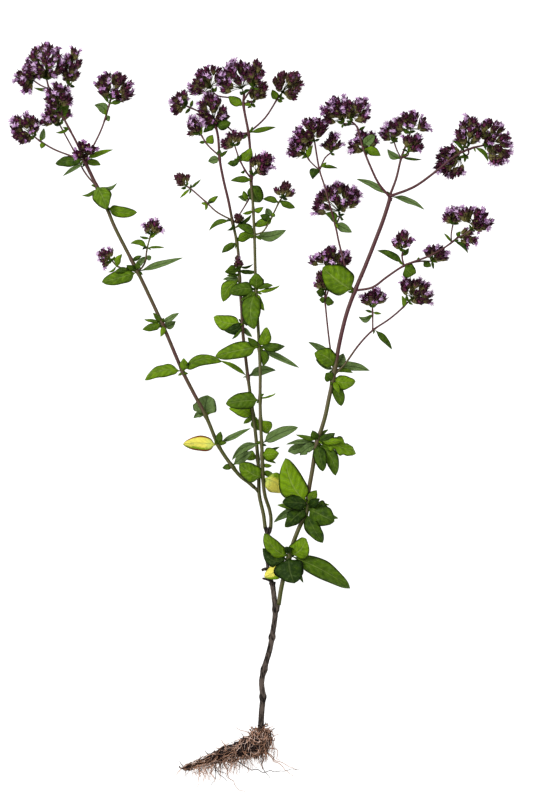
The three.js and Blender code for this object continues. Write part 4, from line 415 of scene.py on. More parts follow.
ROOTSTOCK = {
    # The creeping rhizome, from its crown to its broken end.
    "rhizome": {
        "radii": [5.5, 9, 8.6, 7.6, 6.4, 5.2, 3.8, 2.4, 2.8, 1.6],
        "through": [
            [3, -251, 9], [2, -259, 8.6], [-4, -263, 8.2], [-13, -265.6, 7.4], [-24, -269, 6.2],
            [-35, -273, 5],
            [-46, -277, 4.2], [-56, -281, 2.8], [-62, -282, 2.4], [-64, -281, 2.4],
        ],
    },
    "crown": {"radii": [3.2, 2.6], "through": [[1, -257, 9], [2, -250, 10.5], [2, -246.3, 11]]},
    # Rootlets: [x, y, z of the foot, x, y, z of the tip, sag sideways].
    "rootlets": [
        [-2, -256, 9, -18, -250, 4, 1], [3, -254, 10, 11, -247, 8, 1], [5, -258, 9, 16, -256, 4, 1],
        [6, -262, 8, 13, -266, 2, -1], [5, -268, 6, 27.5, -289, 1.1, 0], [4, -266, 5, 17, -277, 1, 3],
        [3, -268, 5, 9, -291, 1.1, -2], [0, -268, 6, 3, -283, 1, 1], [4, -267, 6, 31, -283.5, 1.1, -1],
        [-4, -268, 6, -4, -277, 2, 1], [-10, -268, 5, -13, -283, 1, -1], [-14, -270, 5, -16, -286, 1.1, 1],
        [-19, -271, 4, -20, -287, 1, 1], [-24, -272, 4, -24, -288, 1, -1],
        [-28, -272, 4, -12, -302, 1.1, -3],
        [-30, -274, 4, -32, -293, 1.1, 1], [-34, -275, 4, -38, -297, 1.1, 2],
        [-38, -276, 3.5, -26, -292, 1.1, -1], [-43, -278, 3, -50, -286, 1.1, 1],
        [-48, -279, 3, -40, -291, 1.1, 1], [-61, -282, 2, -67, -288, 1.1, 1],
        [-60, -282, 2, -64, -277, 2, 0],
        [-26, -264, 7, -31, -259, 7, 0], [-10, -259, 11, -14, -254, 8, 0], [-2, -255, 12, -7, -247, 12, 1],
        [-40, -271, 7, -44, -267, 4, 0], [8, -260, 11, 13, -259, 13, 0], [2, -256, 15, -3, -250, 15, 0],
        [-24, -274, 4, 34, -282.5, 1.1, -6],
    ],
}

LEAFY_STEMS = {"inner": INNER_STEM, "left": LEFT_STEM, "middle": MIDDLE_STEM, "right": RIGHT_STEM}

# ---- Fixed shapes -------------------------------------------------------------------------------------
# Lengths are in millimetres. A name that ends in RANGE, RANGES, SPREAD or STRAY holds the least and the
# most of one or more random choices.

CURVE_STEPS = 12  # of a route, between two of the points that it runs through
SHORTEST_CHORD = 0.01

STEM_STEP = 3.0  # between the rings of a stem
STEM_COLUMNS = 8
STEM_CORNERS = 4
STEM_SQUARENESS = 0.07  # an oregano stem is four-angled
SOCKET = 1.6  # how far a leafy stem reaches back into the wood
NODE_REACH = 1.8  # how far along a stem a node swells it
LIT_SIDE = Vector((-0.45, 0.3, 0.84))  # the side of a stem that faces the light from the upper left, where a highlight is painted
HAIR_COLUMNS = 3
HAIRS_PER_STEP = 5
HAIR_FOOT = 0.9  # how far out its foot is, as a share of the stem's radius
HAIR_RADIUS = 0.035
HAIR_TIP = 0.3  # the radius of a hair's tip, as a share of that of its foot
HAIR_LEAN = 0.6
HAIR_SIZE_RANGE = (0.5, 1.2)

WOOD_STEP = 1.0
WOOD_COLUMNS = 12
CROWN_SOCKET = 5.0  # how far the wood reaches into the crown
WOODY_NODES = (-224, -202, -176, -154, -132, -123, -91)  # how far along the plant they are
WOODY_NODE_REACH = 2.4
WOODY_NODE_SWELLING = 0.35
WOOD_UNEVENNESS = 0.1
WOOD_LUMPS = 0.6  # how close together its lumps are

LEAF_COLUMNS = 12
LEAF_ROWS = 24
SMALL_LEAF_ROWS = 8
# Places along a leaf, as shares of its length, and the half width there, as a share of its width.
FULL_OUTLINE = [
    (0, 0.03), (0.07, 0.035), (0.12, 0.1), (0.18, 0.33), (0.28, 0.47),
    (0.45, 0.51), (0.62, 0.48), (0.8, 0.36), (0.93, 0.2), (1, 0),
]
PLAIN_OUTLINE = [
    (0, 0.04), (0.07, 0.05), (0.15, 0.14), (0.28, 0.4),
    (0.45, 0.5), (0.7, 0.4), (0.92, 0.15), (1, 0),
]
SHORT_OUTLINE = [(0, 0.05), (0.1, 0.12), (0.24, 0.4), (0.42, 0.5), (0.68, 0.42), (0.9, 0.18), (1, 0)]
WIDE_LEAF = 9
SHORT_LEAF = 18
AXIL_LEAF = 10  # a leaf that is longer than this has a little one in its axil
FOLD_SHARE = 0.35  # of the midrib's height, in the narrowest leaf
FOLD_PER_WIDTH = 0.1  # and what each millimetre of width adds to it
FOLD_ROUNDNESS = 1.3
FOLD_RISE = 3  # how soon it reaches its height from the ends of the leaf
FOLD_RANGE = (0.6, 1.3)
RIPPLE_RANGE = (0.4, 1.6)
WAVES_RANGE = (1.5, 3.0)
SWEEP_RANGE = (-0.015, 0.015)
CURL_RANGE = (-40, 40)  # degrees
NOTCHES = 3
NOTCH_DEPTH = 0.16
CRUMPLED = {"waves": 0.5, "notches": 1.5, "depth": 0.2}  # what each degree of crumpling adds
FLANK_SHIFT = 3  # of the place in the noise that the notches of one flank come from
NOISE_REACH = 40  # of the places in the noise that the leaves' notches come from

ORDINARY_TONE_RANGE = (0.15, 0.85)
AXIL_WAY_RANGE = (0.4, 0.9)  # radians to one side of the leaf that it stands beside
AXIL_RISE_RANGE = (0.1, 0.5)
AXIL_SIZE_RANGE = (3.5, 6.5)
AXIL_WIDTH = 0.45
AXIL_LOOK_RANGES = ((-50, 50), (-0.15, 0.15), (0, 0.7))  # turn, sideways bow and tone
HEAD_LEAVES = 4
HEAD_LEAF_RISE_RANGE = (0.2, 1.0)
HEAD_LEAF_SIZE_RANGE = (4.0, 7.0)
HEAD_LEAF_WIDTH_RANGE = (0.4, 0.55)
HEAD_LEAF_LOOK_RANGES = ((-40, 40), (-0.15, 0.15), (0, 0.5))  # turn, sideways bow and tone
LEAST_LIFT = 0.5  # of the tip of a leaf under a head, over the surface

SPIKELET_SEED = 11
SPIKELET_LENGTH = 10.0
SPIKELET_LEVELS = 5
SPIKELET_FLOWERS = (0, 1, 2, 3, 4, 5)
CORE_COLUMNS = 6
CORE_HEIGHTS = (0.2, 3, 6, 8)
CORE_RADII = (0.7, 1.7, 1.6, 0.6)
CORE_SCALE = (0.3, 0.3, 0.5)  # what the core is painted with: place along a scale, tone and level
BRACTS_PER_LEVEL = 3
LEVEL_STEP = 1.35
LEVEL_RADII = (0.4, 0.9, 1.1, 0.9, 0.4)  # of the foot of the scales, from the lowest level up
BRACT_TURN_RANGE = (-0.3, 0.3)
BRACT_COLUMNS = 6
BRACT_ROWS = 5
BRACT_LENGTH_RANGE = (0.85, 1.15)
BRACT_WIDTH_RANGE = (0.85, 1.1)
BRACT_FLARE_RANGE = (0.4, 2.0)
BRACT_WIDEST = 0.75  # a lower number moves its widest place towards its foot
BRACT_ROUNDNESS = 0.8
BRACT_BELLY = 1.4  # how far a scale bulges from the core
BELLY_PLACE = 0.8  # a lower number moves the bulge towards the tip
BRACT_THICKNESS = 0.2
LEAST_WRAP = 1.2  # the tightest radius that a scale wraps round

# A corolla's rings from its base over its lip and back down its throat: radius and height.
COROLLA_RINGS = [(0, 0), (0.5, 1.5), (0.95, 3.3), (2.1, 4.4), (0.7, 3.3), (0, 2.4)]
COROLLA_LIP = 3  # the ring that is cut into lobes
COROLLA_LOBES = 5
COROLLA_LIP_RADIUS = (0.8, 0.3, 0.25)  # all round, more at each lobe and more on one side
COROLLA_LIP_RISE = 0.4
COROLLA_HEIGHT = 5.0
COROLLA_COLUMNS = 10
COROLLA_SIZE_RANGE = (0.8, 1.2)
COROLLA_LEAN_RANGE = (0.15, 0.85)
COROLLA_FOOT_RADIUS = 1.5
COROLLA_FOOT_RANGE = (4.0, 7.5)  # up the spikelet
STAMEN_TURNS = (0.6, 2.2, 3.9)
STAMEN_FOOT = (0.3, 2.6)  # radius and height
STAMEN_TIP = (1.3, 6.4)
STAMEN_RADII = (0.09, 0.08, 0.17)
STAMEN_COLUMNS = 3
STAMEN_NECK = 0.9  # how far up it the thread ends and the anther starts
STAMEN_SCALE = (0.9, 1, 1)  # what it is painted with

HEAD_GAP = 0.6  # from the end of a branch to the foot of its head
HEAD_FORK = 0.16  # where the stalks part, as a share of the head's height
HEAD_FLATTENING = 0.82
HEAD_CENTRE = 0.42
HEAD_AREA_PER_SPIKELET = 19.0
HEAD_COVER = (0.5, 2.6)  # a head's area is reach * height * (the first + sweep / the second)
SPIKELET_TURN_RANGE = (-0.4, 0.4)
FEWEST_SPIKELETS = 5
SPIKELET_SIZE_RANGE = (0.82, 1.12)
SPIKELET_SHARE = 0.9  # the most that a spikelet takes of the way from the fork
SPIKELET_UPTURN = 0.3
LEAST_GIRTH = 0.7
FOOT_COLUMNS = 6
FOOT_RADII = (0.5, 0.5, 0.42)
STALK_COLUMNS = 4
STALK_RADII = (0.36, 0.3, 0.36)
STALK_ENDS = (0.4, 0.8)  # how far it reaches into the fork and into its spikelet
STALK_BEND = 0.6
RIPE_BLOOM = 0.5  # a head with fewer flowers than this is going to seed

RHIZOME_STEP = 1.6
RHIZOME_COLUMNS = 28
CROWN_STEP = 1.2
CROWN_COLUMNS = 16
KNOBS = ((0.16, 2.4), (0.6, 1.2))  # how close together and how high
KNOB_HOLLOW = 0.9
ROOT_SEED = 5
CURL_SEED = 1  # the noise vectors would differ from run to run without it
FINE_STEP = 1.2
FINE_COLUMNS = 4
STOUT_COLUMNS = 5
ROOT_FLARE = (1.5, 0.6)  # a fine root's radii at its foot and its tip, as shares of its ordinary radius
ROOTLET_STEP = 1.6
ROOTLET_RADII = (0.45, 0.16)
ROOTLET_TONE_RANGE = (0.1, 0.75)
ROOTLET_WANDER = 2.2
ROOTLET_SWAY = 0.17  # how soon its wandering turns
ROOTLET_CLEAR = 4  # the steps over which it starts to wander
STUBS = 80
STUB_STEP = 0.9
STUB_TURNS = 5
STUB_FOOT = 0.8  # how far out its foot is, as a share of the radius there
STUB_RADII = (0.5, 0.34)
STUB_TONE_RANGE = (0, 0.75)
STUB_LENGTHS = (1.5, 8, 3)  # the least, the most and the commonest
STUB_STRAY = ((-1, 1), (-1, 1), (-0.8, 0.8))
STUB_WANDER = 0.75
STEEPEST_STUB = -0.2  # the rise of the steepest stub, which points down
BEARD_HAIRS = 70
BEARD_RADII = (0.28, 0.14)
BEARD_PLACES = (-5, 11, 4)  # across the crown: the least, the most and the commonest
BEARD_MIDDLE = 3
BEARD_TOP = 17
BEARD_SLOPE = 0.7
BEARD_FOOT_RANGE = (-262, -247)
BEARD_TIP_RANGES = ((-3, 3), (-279, -268), (1, 9))  # aside of its foot, along the plant, and its height
BEARD_BEND_RANGES = ((-2, 2), (2, 5))  # of its middle, aside and up
BEARD_STEP = 2.5
BEARD_SWAY = 0.4
BEARD_WANDER = 1.2
FRINGE_HAIRS = 75
FRINGE_RADII = (0.34, 0.15)
FRINGE_TONE_RANGE = (0.3, 1)
FRINGE_START = (-14, -268)  # a place on the line that the fringe's feet lie below
FRINGE_SLOPE = 0.27
FRINGE_FOOT_RANGES = ((-50, -10), (2, 8), (2, 6))  # its place across the plant, its height and how far below
FRINGE_SPREAD = (-0.8, 0.8)
FRINGE_STRAY = ((-1, 1), (-1, 0.6), (-0.5, 0.4))
FRINGE_TURNS = (4, 8)
FRINGE_TURN_RANGE = (1.4, 3.0)
FRINGE_STEP = 1.1
FRINGE_LIFT = 0.3
CLING_STEPS = 4
CLING_CROWDING = 1.3  # fine roots are closer together towards the crown
CLING_START_RANGE = (-0.9, 3.1)  # radians from the rhizome's outer side over its top
CLING_SWEEP_RANGE = (-0.2, 1.7)
CLING_DRIFT_RANGE = (-7, 7)  # steps along the rhizome
CLING_STRAY = (-0.5, 0.5)
CLING_HEIGHT = 0.4
CLING_LIFT_RANGE = (-0.3, 0.6)
BARE_STEPS = 6  # at the rhizome's thin end
FAR_SIDE = 1.4  # from this angle on, a root faces the plant
SHORT_HANG_RANGE = (0.8, 4.5)
FAR_HANG_RANGE = (0.8, 3.4)
LONG_HANG_RANGE = (7, 17)
LONG_SHARES = (0.3, 0.06)  # of the roots in the rhizome's middle and at its ends
RHIZOME_MIDDLE = (0.3, 0.85)
HANG_SPREAD = (-0.7, 0.7)
FAR_SPREAD = (-1.2, 1.2)
HANG_TURNS = 5
HANG_SWAY = 0.9
HANG_CURL = 2.4
FULL_CURL = 6  # roots that hang further than this curl fully
SWIRLS = 50  # of the places in the noise that the curls come from
HANG_THICKNESSES = (0.6, 1.8, 0.8)  # the least, the most and the commonest
LONG_HANG_THICKNESS = 0.7

FLOOR_REACH = 3  # metres
FLOOR_GLOW = 0.78
SKY_STRENGTH = 0.55
LAMPS = (("key", (-1.2, 1.0, 1.8), 1.0, 36), ("fill", (1.4, -0.8, 1.6), 1.6, 8))  # place, size and power
VIEW_CENTRE = (0.0068, 0.0140, 0.018)  # metres


def measure(name, description, default):
    return FloatProperty(name=name, description=description, default=default, min=0, unit="LENGTH")


def fraction(name, description, default):
    return FloatProperty(name=name, description=description, default=default, min=0, subtype="FACTOR")


def tint(name, description, red, green, blue):
    colour = (red, green, blue, 1)
    return FloatVectorProperty(
        name=name, description=description, size=4, subtype="COLOR", min=0, max=1, default=colour
    )


class OreganoSizes(PropertyGroup):
    """The sizes that a user would change."""

    leaf_thickness: measure("Leaf thickness", "Thickness of a blade", 0.00045)
    midrib_height: measure("Midrib height", "How far the midrib stands over the edges", 0.0012)
    leaf_arch: fraction("Leaf arch", "How far a blade bows, as a share of its length", 0.07)
    leaf_ripple: fraction("Leaf ripple", "How far the edges wave, as a share of the width", 0.05)
    node_swelling: fraction("Node swelling", "How much thicker a stem is at its leaves", 0.35)
    hair_length: measure("Hair length", "Length of the hairs on the stems", 0.0007)
    bract_length: measure("Bract length", "Length of the scales of a flower head", 0.0050)
    bract_width: measure("Bract width", "Width of the scales of a flower head", 0.0034)
    root_hairs: IntProperty(name="Root hairs", description="Number of fine roots", default=400, min=0)
    root_hair_radius: measure("Root hair radius", "Thickness of the fine roots", 0.00019)
    camera_height: measure("Camera height", "Height of the camera above the plant", 2.667)


class OreganoColours(PropertyGroup):
    """The colours that a user would change."""

    leaf_dark: tint("Dark leaf", "Upper side of a shaded leaf", 0.018, 0.042, 0.005)
    leaf_green: tint("Green leaf", "Upper side of an ordinary leaf", 0.08, 0.145, 0.006)
    leaf_bright: tint("Bright leaf", "Upper side of a young leaf", 0.18, 0.30, 0.006)
    leaf_yellow: tint("Yellow leaf", "Upper side of a dying leaf", 0.70, 0.64, 0.12)
    leaf_fading: tint("Fading leaf", "The end of a dying leaf that is still green", 0.54, 0.64, 0.15)
    leaf_scorch: tint("Scorched edge", "Margin of a dying leaf", 0.25, 0.05, 0.015)
    # The underside colour is also the colour of the patches of painted sheen on the upper side.
    leaf_under_and_sheen: tint("Leaf underside", "Underside of a leaf", 0.15, 0.215, 0.085)
    leaf_vein: tint("Leaf vein", "Veins of a leaf", 0.34, 0.41, 0.14)
    # The dark rim of painted shade along a leaf's margin.
    leaf_rim_shade: tint("Leaf edge", "Margin of a leaf", 0.012, 0.018, 0.004)
    stem_olive: tint("Olive stem", "Green skin of the stems", 0.058, 0.070, 0.009)
    stem_purple: tint("Purple stem", "Ripe skin of the stems", 0.080, 0.022, 0.032)
    # The colour of the highlight painted on the side of the stems that faces the light.
    stem_highlight: tint("Pale stem", "Bleached side of the stems", 0.27, 0.22, 0.16)
    bark: tint("Bark", "Bark of the woody base", 0.12, 0.095, 0.08)
    bark_dark: tint("Dark bark", "Nodes and furrows of the bark", 0.012, 0.009, 0.008)
    root: tint("Rhizome", "Skin of the rhizome", 0.018, 0.010, 0.011)
    root_dark: tint("Dark root hair", "Old fine roots", 0.06, 0.038, 0.03)
    root_hair: tint("Root hair", "Fine roots", 0.42, 0.245, 0.165)
    root_pale: tint("Pale root hair", "Young fine roots", 0.72, 0.55, 0.47)
    bract_base: tint("Bract base", "Foot of the scales of a flower head", 0.18, 0.165, 0.055)
    bract: tint("Bract", "Middle of the scales of a flower head", 0.055, 0.014, 0.028)
    bract_tip: tint("Bract tip", "Tips of the scales of a flower head", 0.017, 0.004, 0.009)
    bract_magenta: tint("Young bract", "Scales that are still reddish", 0.16, 0.03, 0.09)
    bract_ripe: tint("Ripe bract", "Scales that are going to seed", 0.09, 0.045, 0.035)
    corolla: tint("Corolla", "Lips of the larger flowers", 0.70, 0.50, 0.72)
    corolla_deep: tint("Deep corolla", "Lips of the smaller flowers", 0.47, 0.25, 0.49)
    corolla_tube: tint("Corolla tube", "Tubes of the open flowers", 0.38, 0.16, 0.36)
    floor: tint("Floor", "The light table that the plant lies on", 0.3, 0.3, 0.3)


# ---- Curves -------------------------------------------------------------------------------------------


def hermite(start, leaving, end, arriving, t):
    """The place at t, from 0 to 1, on the cubic with these two ends and the slopes there."""
    return (
        start * (2 * t**3 - 3 * t**2 + 1)
        + leaving * (t**3 - 2 * t**2 + t)
        + end * (3 * t**2 - 2 * t**3)
        + arriving * (t**3 - t**2)
    )


def smooth_route(points, step):
    """Points at even steps along the centripetal Catmull-Rom curve through the points."""
    chain = [points[0] * 2 - points[1], *points, points[-1] * 2 - points[-2]]
    fine = []
    for p0, p1, p2, p3 in zip(chain, chain[1:], chain[2:], chain[3:]):
        d0, d1, d2 = (max((b - a).length ** 0.5, SHORTEST_CHORD) for a, b in ((p0, p1), (p1, p2), (p2, p3)))
        leaving = ((p1 - p0) / d0 - (p2 - p0) / (d0 + d1) + (p2 - p1) / d1) * d1
        arriving = ((p2 - p1) / d1 - (p3 - p1) / (d1 + d2) + (p3 - p2) / d2) * d1
        fine += [hermite(p1, leaving, p2, arriving, k / CURVE_STEPS) for k in range(CURVE_STEPS)]
    fine.append(points[-1])
    return even_steps(fine, step)


def even_steps(points, step):
    """The same route with its points about one step apart."""
    reached = [0.0]
    for a, b in zip(points, points[1:]):
        reached.append(reached[-1] + (b - a).length)
    count = max(2, round(reached[-1] / step))
    route, k = [], 0
    for i in range(count + 1):
        target = reached[-1] * i / count
        while k < len(points) - 2 and reached[k + 1] < target:
            k += 1
        span = reached[k + 1] - reached[k]
        route.append(points[k].lerp(points[k + 1], (target - reached[k]) / span if span else 0))
    return route


def route_through(places, step):
    return smooth_route([Vector(place) for place in places], step)


def routes_of(lines, step):
    """The routes of stems and branches. Each branch starts on the routes before it."""
    routes = []
    for line in lines:
        start, *rest = line["through"]
        routes.append(route_through([nearest(routes, *start[:2]) if routes else start, *rest], step))
    return routes


def nearest(routes, x, y):
    """The point of the routes that is nearest to x, y, seen from above."""
    found, least = None, math.inf
    for route in routes:
        for a, b in zip(route, route[1:]):
            run_x, run_y = b.x - a.x, b.y - a.y
            span = run_x * run_x + run_y * run_y
            share = ((x - a.x) * run_x + (y - a.y) * run_y) / span if span else 0
            share = min(1, max(0, share))
            gap = math.hypot(a.x + run_x * share - x, a.y + run_y * share - y)
            if gap < least:
                found, least = a.lerp(b, share), gap
    return found


def frames_along(points):
    """Two directions square to the route at each of its points, turning as little as they can."""
    normal = (points[1] - points[0]).orthogonal().normalized()
    frames = []
    for i in range(len(points)):
        tangent = (points[min(i + 1, len(points) - 1)] - points[max(i - 1, 0)]).normalized()
        normal = (normal - tangent * normal.dot(tangent)).normalized()
        frames.append((normal, tangent.cross(normal)))
    return frames


def profile(stops, x):
    """A smooth curve through the stops, which are pairs of place and value, at x."""
    for i, ((x0, y0), (x1, y1)) in enumerate(zip(stops, stops[1:])):
        if x <= x1:
            break
    xa, ya = stops[max(i - 1, 0)]
    xb, yb = stops[min(i + 2, len(stops) - 1)]
    span = x1 - x0
    leaving, arriving = (y1 - ya) / (x1 - xa) * span, (yb - y0) / (xb - x0) * span
    return hermite(y0, leaving, y1, arriving, (x - x0) / span)


def direction_of(heading, climb):
    """The direction with this heading from above and this climb, in degrees."""
    plan, rise = math.radians(heading), math.radians(climb)
    return Vector((math.cos(plan) * math.cos(rise), math.sin(plan) * math.cos(rise), math.sin(rise)))


def round_z(radius, turn, z):
    """The point at this radius and turn about the Z axis, and this height."""
    return Vector((radius * math.cos(turn), radius * math.sin(turn), z))


def taper(count, start, end):
    return [start + (end - start) * i / (count - 1) for i in range(count)]


def stray(rng, *limits):
    """A vector with each coordinate between its two limits."""
    return Vector([rng.uniform(*pair) for pair in limits])


# ---- Shapes -------------------------------------------------------------------------------------------


def mesh_of(name, bm):
    mesh = bpy.data.meshes.new(name)
    bm.to_mesh(mesh)
    bm.free()
    return mesh


def show(name, data):
    """A new object of the scene."""
    made = bpy.data.objects.new(name, data)
    bpy.context.scene.collection.objects.link(made)
    return made


def globe(columns, rows):
    """The mesh of a plain globe, which is made once for each number of columns and rows."""
    name = f"globe_{columns}_{rows}"
    if name not in bpy.data.meshes:
        bm = bmesh.new()
        bmesh.ops.create_uvsphere(bm, u_segments=columns, v_segments=rows, radius=1)
        mesh_of(name, bm)
    return bpy.data.meshes[name]


def skin(bm, columns, rows, place):
    """Adds a closed skin: a globe whose every vertex is moved to place(vertex, along, around).
    along runs from 0 at one pole to 1 at the other, and around from 0 to 1 about the globe."""
    first = len(bm.verts)
    bm.from_mesh(globe(columns, rows))
    bm.verts.ensure_lookup_table()
    vertices = bm.verts[first:]
    for vertex in vertices:
        x, y, z = vertex.co
        row = round(math.acos(min(1, max(-1, z))) / math.pi * rows)
        column = round(math.atan2(x, y) / math.tau * columns) % columns
        vertex.co = place(vertex, row / rows, column / columns)
    return vertices


def tube(bm, points, radii, columns, squareness=0.0):
    """Adds a closed tube along the points, with a radius at each."""
    frames = frames_along(points)
    rows = len(points) + 1

    def place(_, along, around):
        ring = round(along * rows) - 1
        if ring < 0 or ring == len(points):
            return points[0] if ring < 0 else points[-1]
        angle = math.tau * around
        radius = radii[ring] * (1 + squareness * math.cos(STEM_CORNERS * angle))
        across, over = frames[ring]
        return points[ring] + (across * math.cos(angle) + over * math.sin(angle)) * radius

    return skin(bm, columns, rows, place)


def bend_across(around):
    """How far across a flat skin a column is, from 1 at one edge to -1 at the other, and its side."""
    across = 1 - 4 * around if around < 0.5 else 4 * around - 3
    return across, math.sin(math.tau * around)


def paint(vertices, layer, value):
    for vertex in vertices:
        vertex[layer] = value


def give_material(vertices, index):
    for vertex in vertices:
        for face in vertex.link_faces:
            face.material_index = index


def piece(name, bm, materials, slot, *nodes):
    """Makes the finished object: in metres, lying on the surface, smooth, riding on the plant."""
    for vertex in bm.verts:
        vertex.co.z = max(vertex.co.z, 0)
    bmesh.ops.recalc_face_normals(bm, faces=bm.faces)
    bmesh.ops.transform(bm, matrix=Matrix.Scale(MM, 4), verts=bm.verts)
    for face in bm.faces:
        face.smooth = True
    made = show(name, mesh_of(name, bm))
    for material in materials:
        made.data.materials.append(material)
    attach(made, BODY)
    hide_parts(*nodes)
    return made


# ---- Materials ----------------------------------------------------------------------------------------


class Finish:
    """A procedural material, built node by node."""

    def __init__(self, name, roughness, specular):
        self.material = bpy.data.materials.get(name) or bpy.data.materials.new(name)
        self.material.use_nodes = True
        self.tree = self.material.node_tree
        self.tree.nodes.clear()
        self.shader = self.tree.nodes.new("ShaderNodeBsdfPrincipled")
        self.shader.inputs["Roughness"].default_value = roughness
        self.shader.inputs["Specular IOR Level"].default_value = specular
        output = self.tree.nodes.new("ShaderNodeOutputMaterial")
        self.tree.links.new(self.shader.outputs[0], output.inputs["Surface"])

    def put(self, socket, value):
        if isinstance(value, bpy.types.NodeSocket):
            self.tree.links.new(value, socket)
        else:
            socket.default_value = value

    def node(self, kind, *values, **settings):
        """Adds a node, with its inputs in order, and returns it. None leaves an input alone."""
        made = self.tree.nodes.new(kind)
        for key, value in settings.items():
            setattr(made, key, value)
        for socket, value in zip(made.inputs, values):
            if value is not None:
                self.put(socket, value)
        return made

    def maths(self, operation, *values):
        return self.node("ShaderNodeMath", *values, operation=operation).outputs[0]

    def plus(self, a, b):
        return self.maths("ADD", a, b)

    def times(self, a, b):
        return self.maths("MULTIPLY", a, b)

    def scaled(self, value, factor, offset):
        return self.maths("MULTIPLY_ADD", value, factor, offset)

    def over(self, value, least):
        return self.maths("GREATER_THAN", value, least)

    def mix(self, factor, a, b):
        made = self.tree.nodes.new("ShaderNodeMix")
        made.data_type = "RGBA"
        for index, value in ((0, factor), (6, a), (7, b)):
            self.put(made.inputs[index], value)
        return made.outputs[2]

    def span(self, value, low, high):
        """The value's place between low and high, from 0 to 1, eased at both ends."""
        return self.node("ShaderNodeMapRange", value, low, high, interpolation_type="SMOOTHSTEP").outputs[0]

    def number(self, name):
        return self.node("ShaderNodeAttribute", attribute_name=name).outputs["Fac"]

    def numbers(self, name):
        """The three numbers of an attribute."""
        vector = self.node("ShaderNodeAttribute", attribute_name=name).outputs["Vector"]
        return self.node("ShaderNodeSeparateXYZ", vector).outputs

    def coordinates(self, x=1.0, y=1.0, z=1.0):
        """Object coordinates in millimetres, stretched along each axis."""
        where = self.node("ShaderNodeTexCoord").outputs["Object"]
        stretch = (x / MM, y / MM, z / MM)
        return self.node("ShaderNodeVectorMath", where, stretch, operation="MULTIPLY").outputs[0]

    def grain(self, where, scale, detail=2.0):
        return self.node("ShaderNodeTexNoise", where, None, scale, detail).outputs[0]

    def colour(self, value):
        self.put(self.shader.inputs["Base Color"], value)

    def bump(self, height, depth):
        """Relief of this depth, in millimetres."""
        made = self.tree.nodes.new("ShaderNodeBump")
        made.inputs["Distance"].default_value = depth * MM
        self.put(made.inputs["Height"], height)
        self.put(self.shader.inputs["Normal"], made.outputs[0])


def leaf_finish(colours):
    """Blotched green or dying yellow above and paler below, with veins, patches of painted sheen and a dark
    rim of painted shade.
    """
    finish = Finish("oregano_leaf", 0.55, 0.12)
    where = finish.coordinates()
    flank, along, side = finish.numbers("blade")
    tone = finish.number("tone")
    across = finish.maths("ABSOLUTE", flank)
    blotches = finish.grain(where, 0.22, 3)
    shade = finish.plus(tone, finish.scaled(blotches, 0.9, -0.45))
    is_dying = finish.over(tone, (BRIGHT + YELLOW) / 2)
    is_scorched = finish.over(tone, (YELLOW + SCORCHED) / 2)
    # A living leaf goes from dark through green to bright.
    living = finish.mix(finish.span(shade, -0.05, 0.5), colours.leaf_dark, colours.leaf_green)
    living = finish.mix(finish.span(shade, 0.4, 1), living, colours.leaf_bright)
    # A dying leaf is yellow inside, still green along one flank and near its foot, and scorched at its edge.
    green_flank = finish.span(finish.scaled(blotches, 0.8, flank), 0.7, 1.1)
    green_foot = finish.span(finish.scaled(blotches, 0.7, along), 0.75, 0.35)
    scorch = finish.times(finish.span(across, 0.68, 0.92), is_scorched)
    dying = finish.mix(green_flank, colours.leaf_yellow, colours.leaf_bright)
    dying = finish.mix(green_foot, dying, colours.leaf_fading)
    dying = finish.mix(scorch, dying, colours.leaf_scorch)
    body = finish.mix(is_dying, living, dying)
    # Side veins leave the midrib at even steps and run forward to the edge.
    run = finish.scaled(along, 6.0, finish.times(across, -1.5))
    run = finish.scaled(finish.grain(where, 0.25, 1), 0.6, run)
    wave = finish.maths("ABSOLUTE", finish.maths("SUBTRACT", finish.maths("FRACT", run), 0.5))
    side_veins = finish.times(finish.span(wave, 0.14, 0.0), finish.span(across, 0.95, 0.5))
    midrib = finish.span(across, 0.11, 0.02)
    veins = finish.maths("MAXIMUM", finish.times(side_veins, 0.42), midrib)
    # A living blade is quilted between its side veins, and every blade has faint pale patches of painted
    # sheen on its upper side.
    quilted = finish.mix(finish.times(finish.span(wave, 0.2, 0.5), 0.28), body, colours.leaf_dark)
    quilted = finish.mix(is_dying, quilted, body)
    # The mask of pale patches of painted sheen, which stand in for soft highlights on the blade.
    bloom = finish.span(finish.grain(where, 0.4, 2), 0.5, 0.75)
    sheened = finish.mix(finish.times(bloom, 0.25), quilted, colours.leaf_under_and_sheen)
    paleness = finish.scaled(finish.span(shade, 0.0, 0.8), 0.18, 0.12)
    # A dark rim of painted shade along the margin of a living leaf, fainter underneath.
    edge = finish.times(finish.span(across, 0.85, 0.99), finish.maths("SUBTRACT", 0.85, is_dying))
    upper = finish.mix(finish.times(veins, paleness), sheened, colours.leaf_vein)
    upper = finish.mix(edge, upper, colours.leaf_rim_shade)
    under = finish.mix(finish.scaled(blotches, 0.9, -0.25), colours.leaf_under_and_sheen, colours.leaf_green)
    under = finish.mix(finish.times(veins, 0.5), under, colours.leaf_dark)
    under = finish.mix(finish.times(edge, 0.6), under, colours.leaf_rim_shade)
    finish.colour(finish.mix(finish.maths("LESS_THAN", side, 0.0), upper, under))
    finish.bump(finish.scaled(veins, -1.2, finish.grain(where, 1.2)), 0.35)
    return finish.material


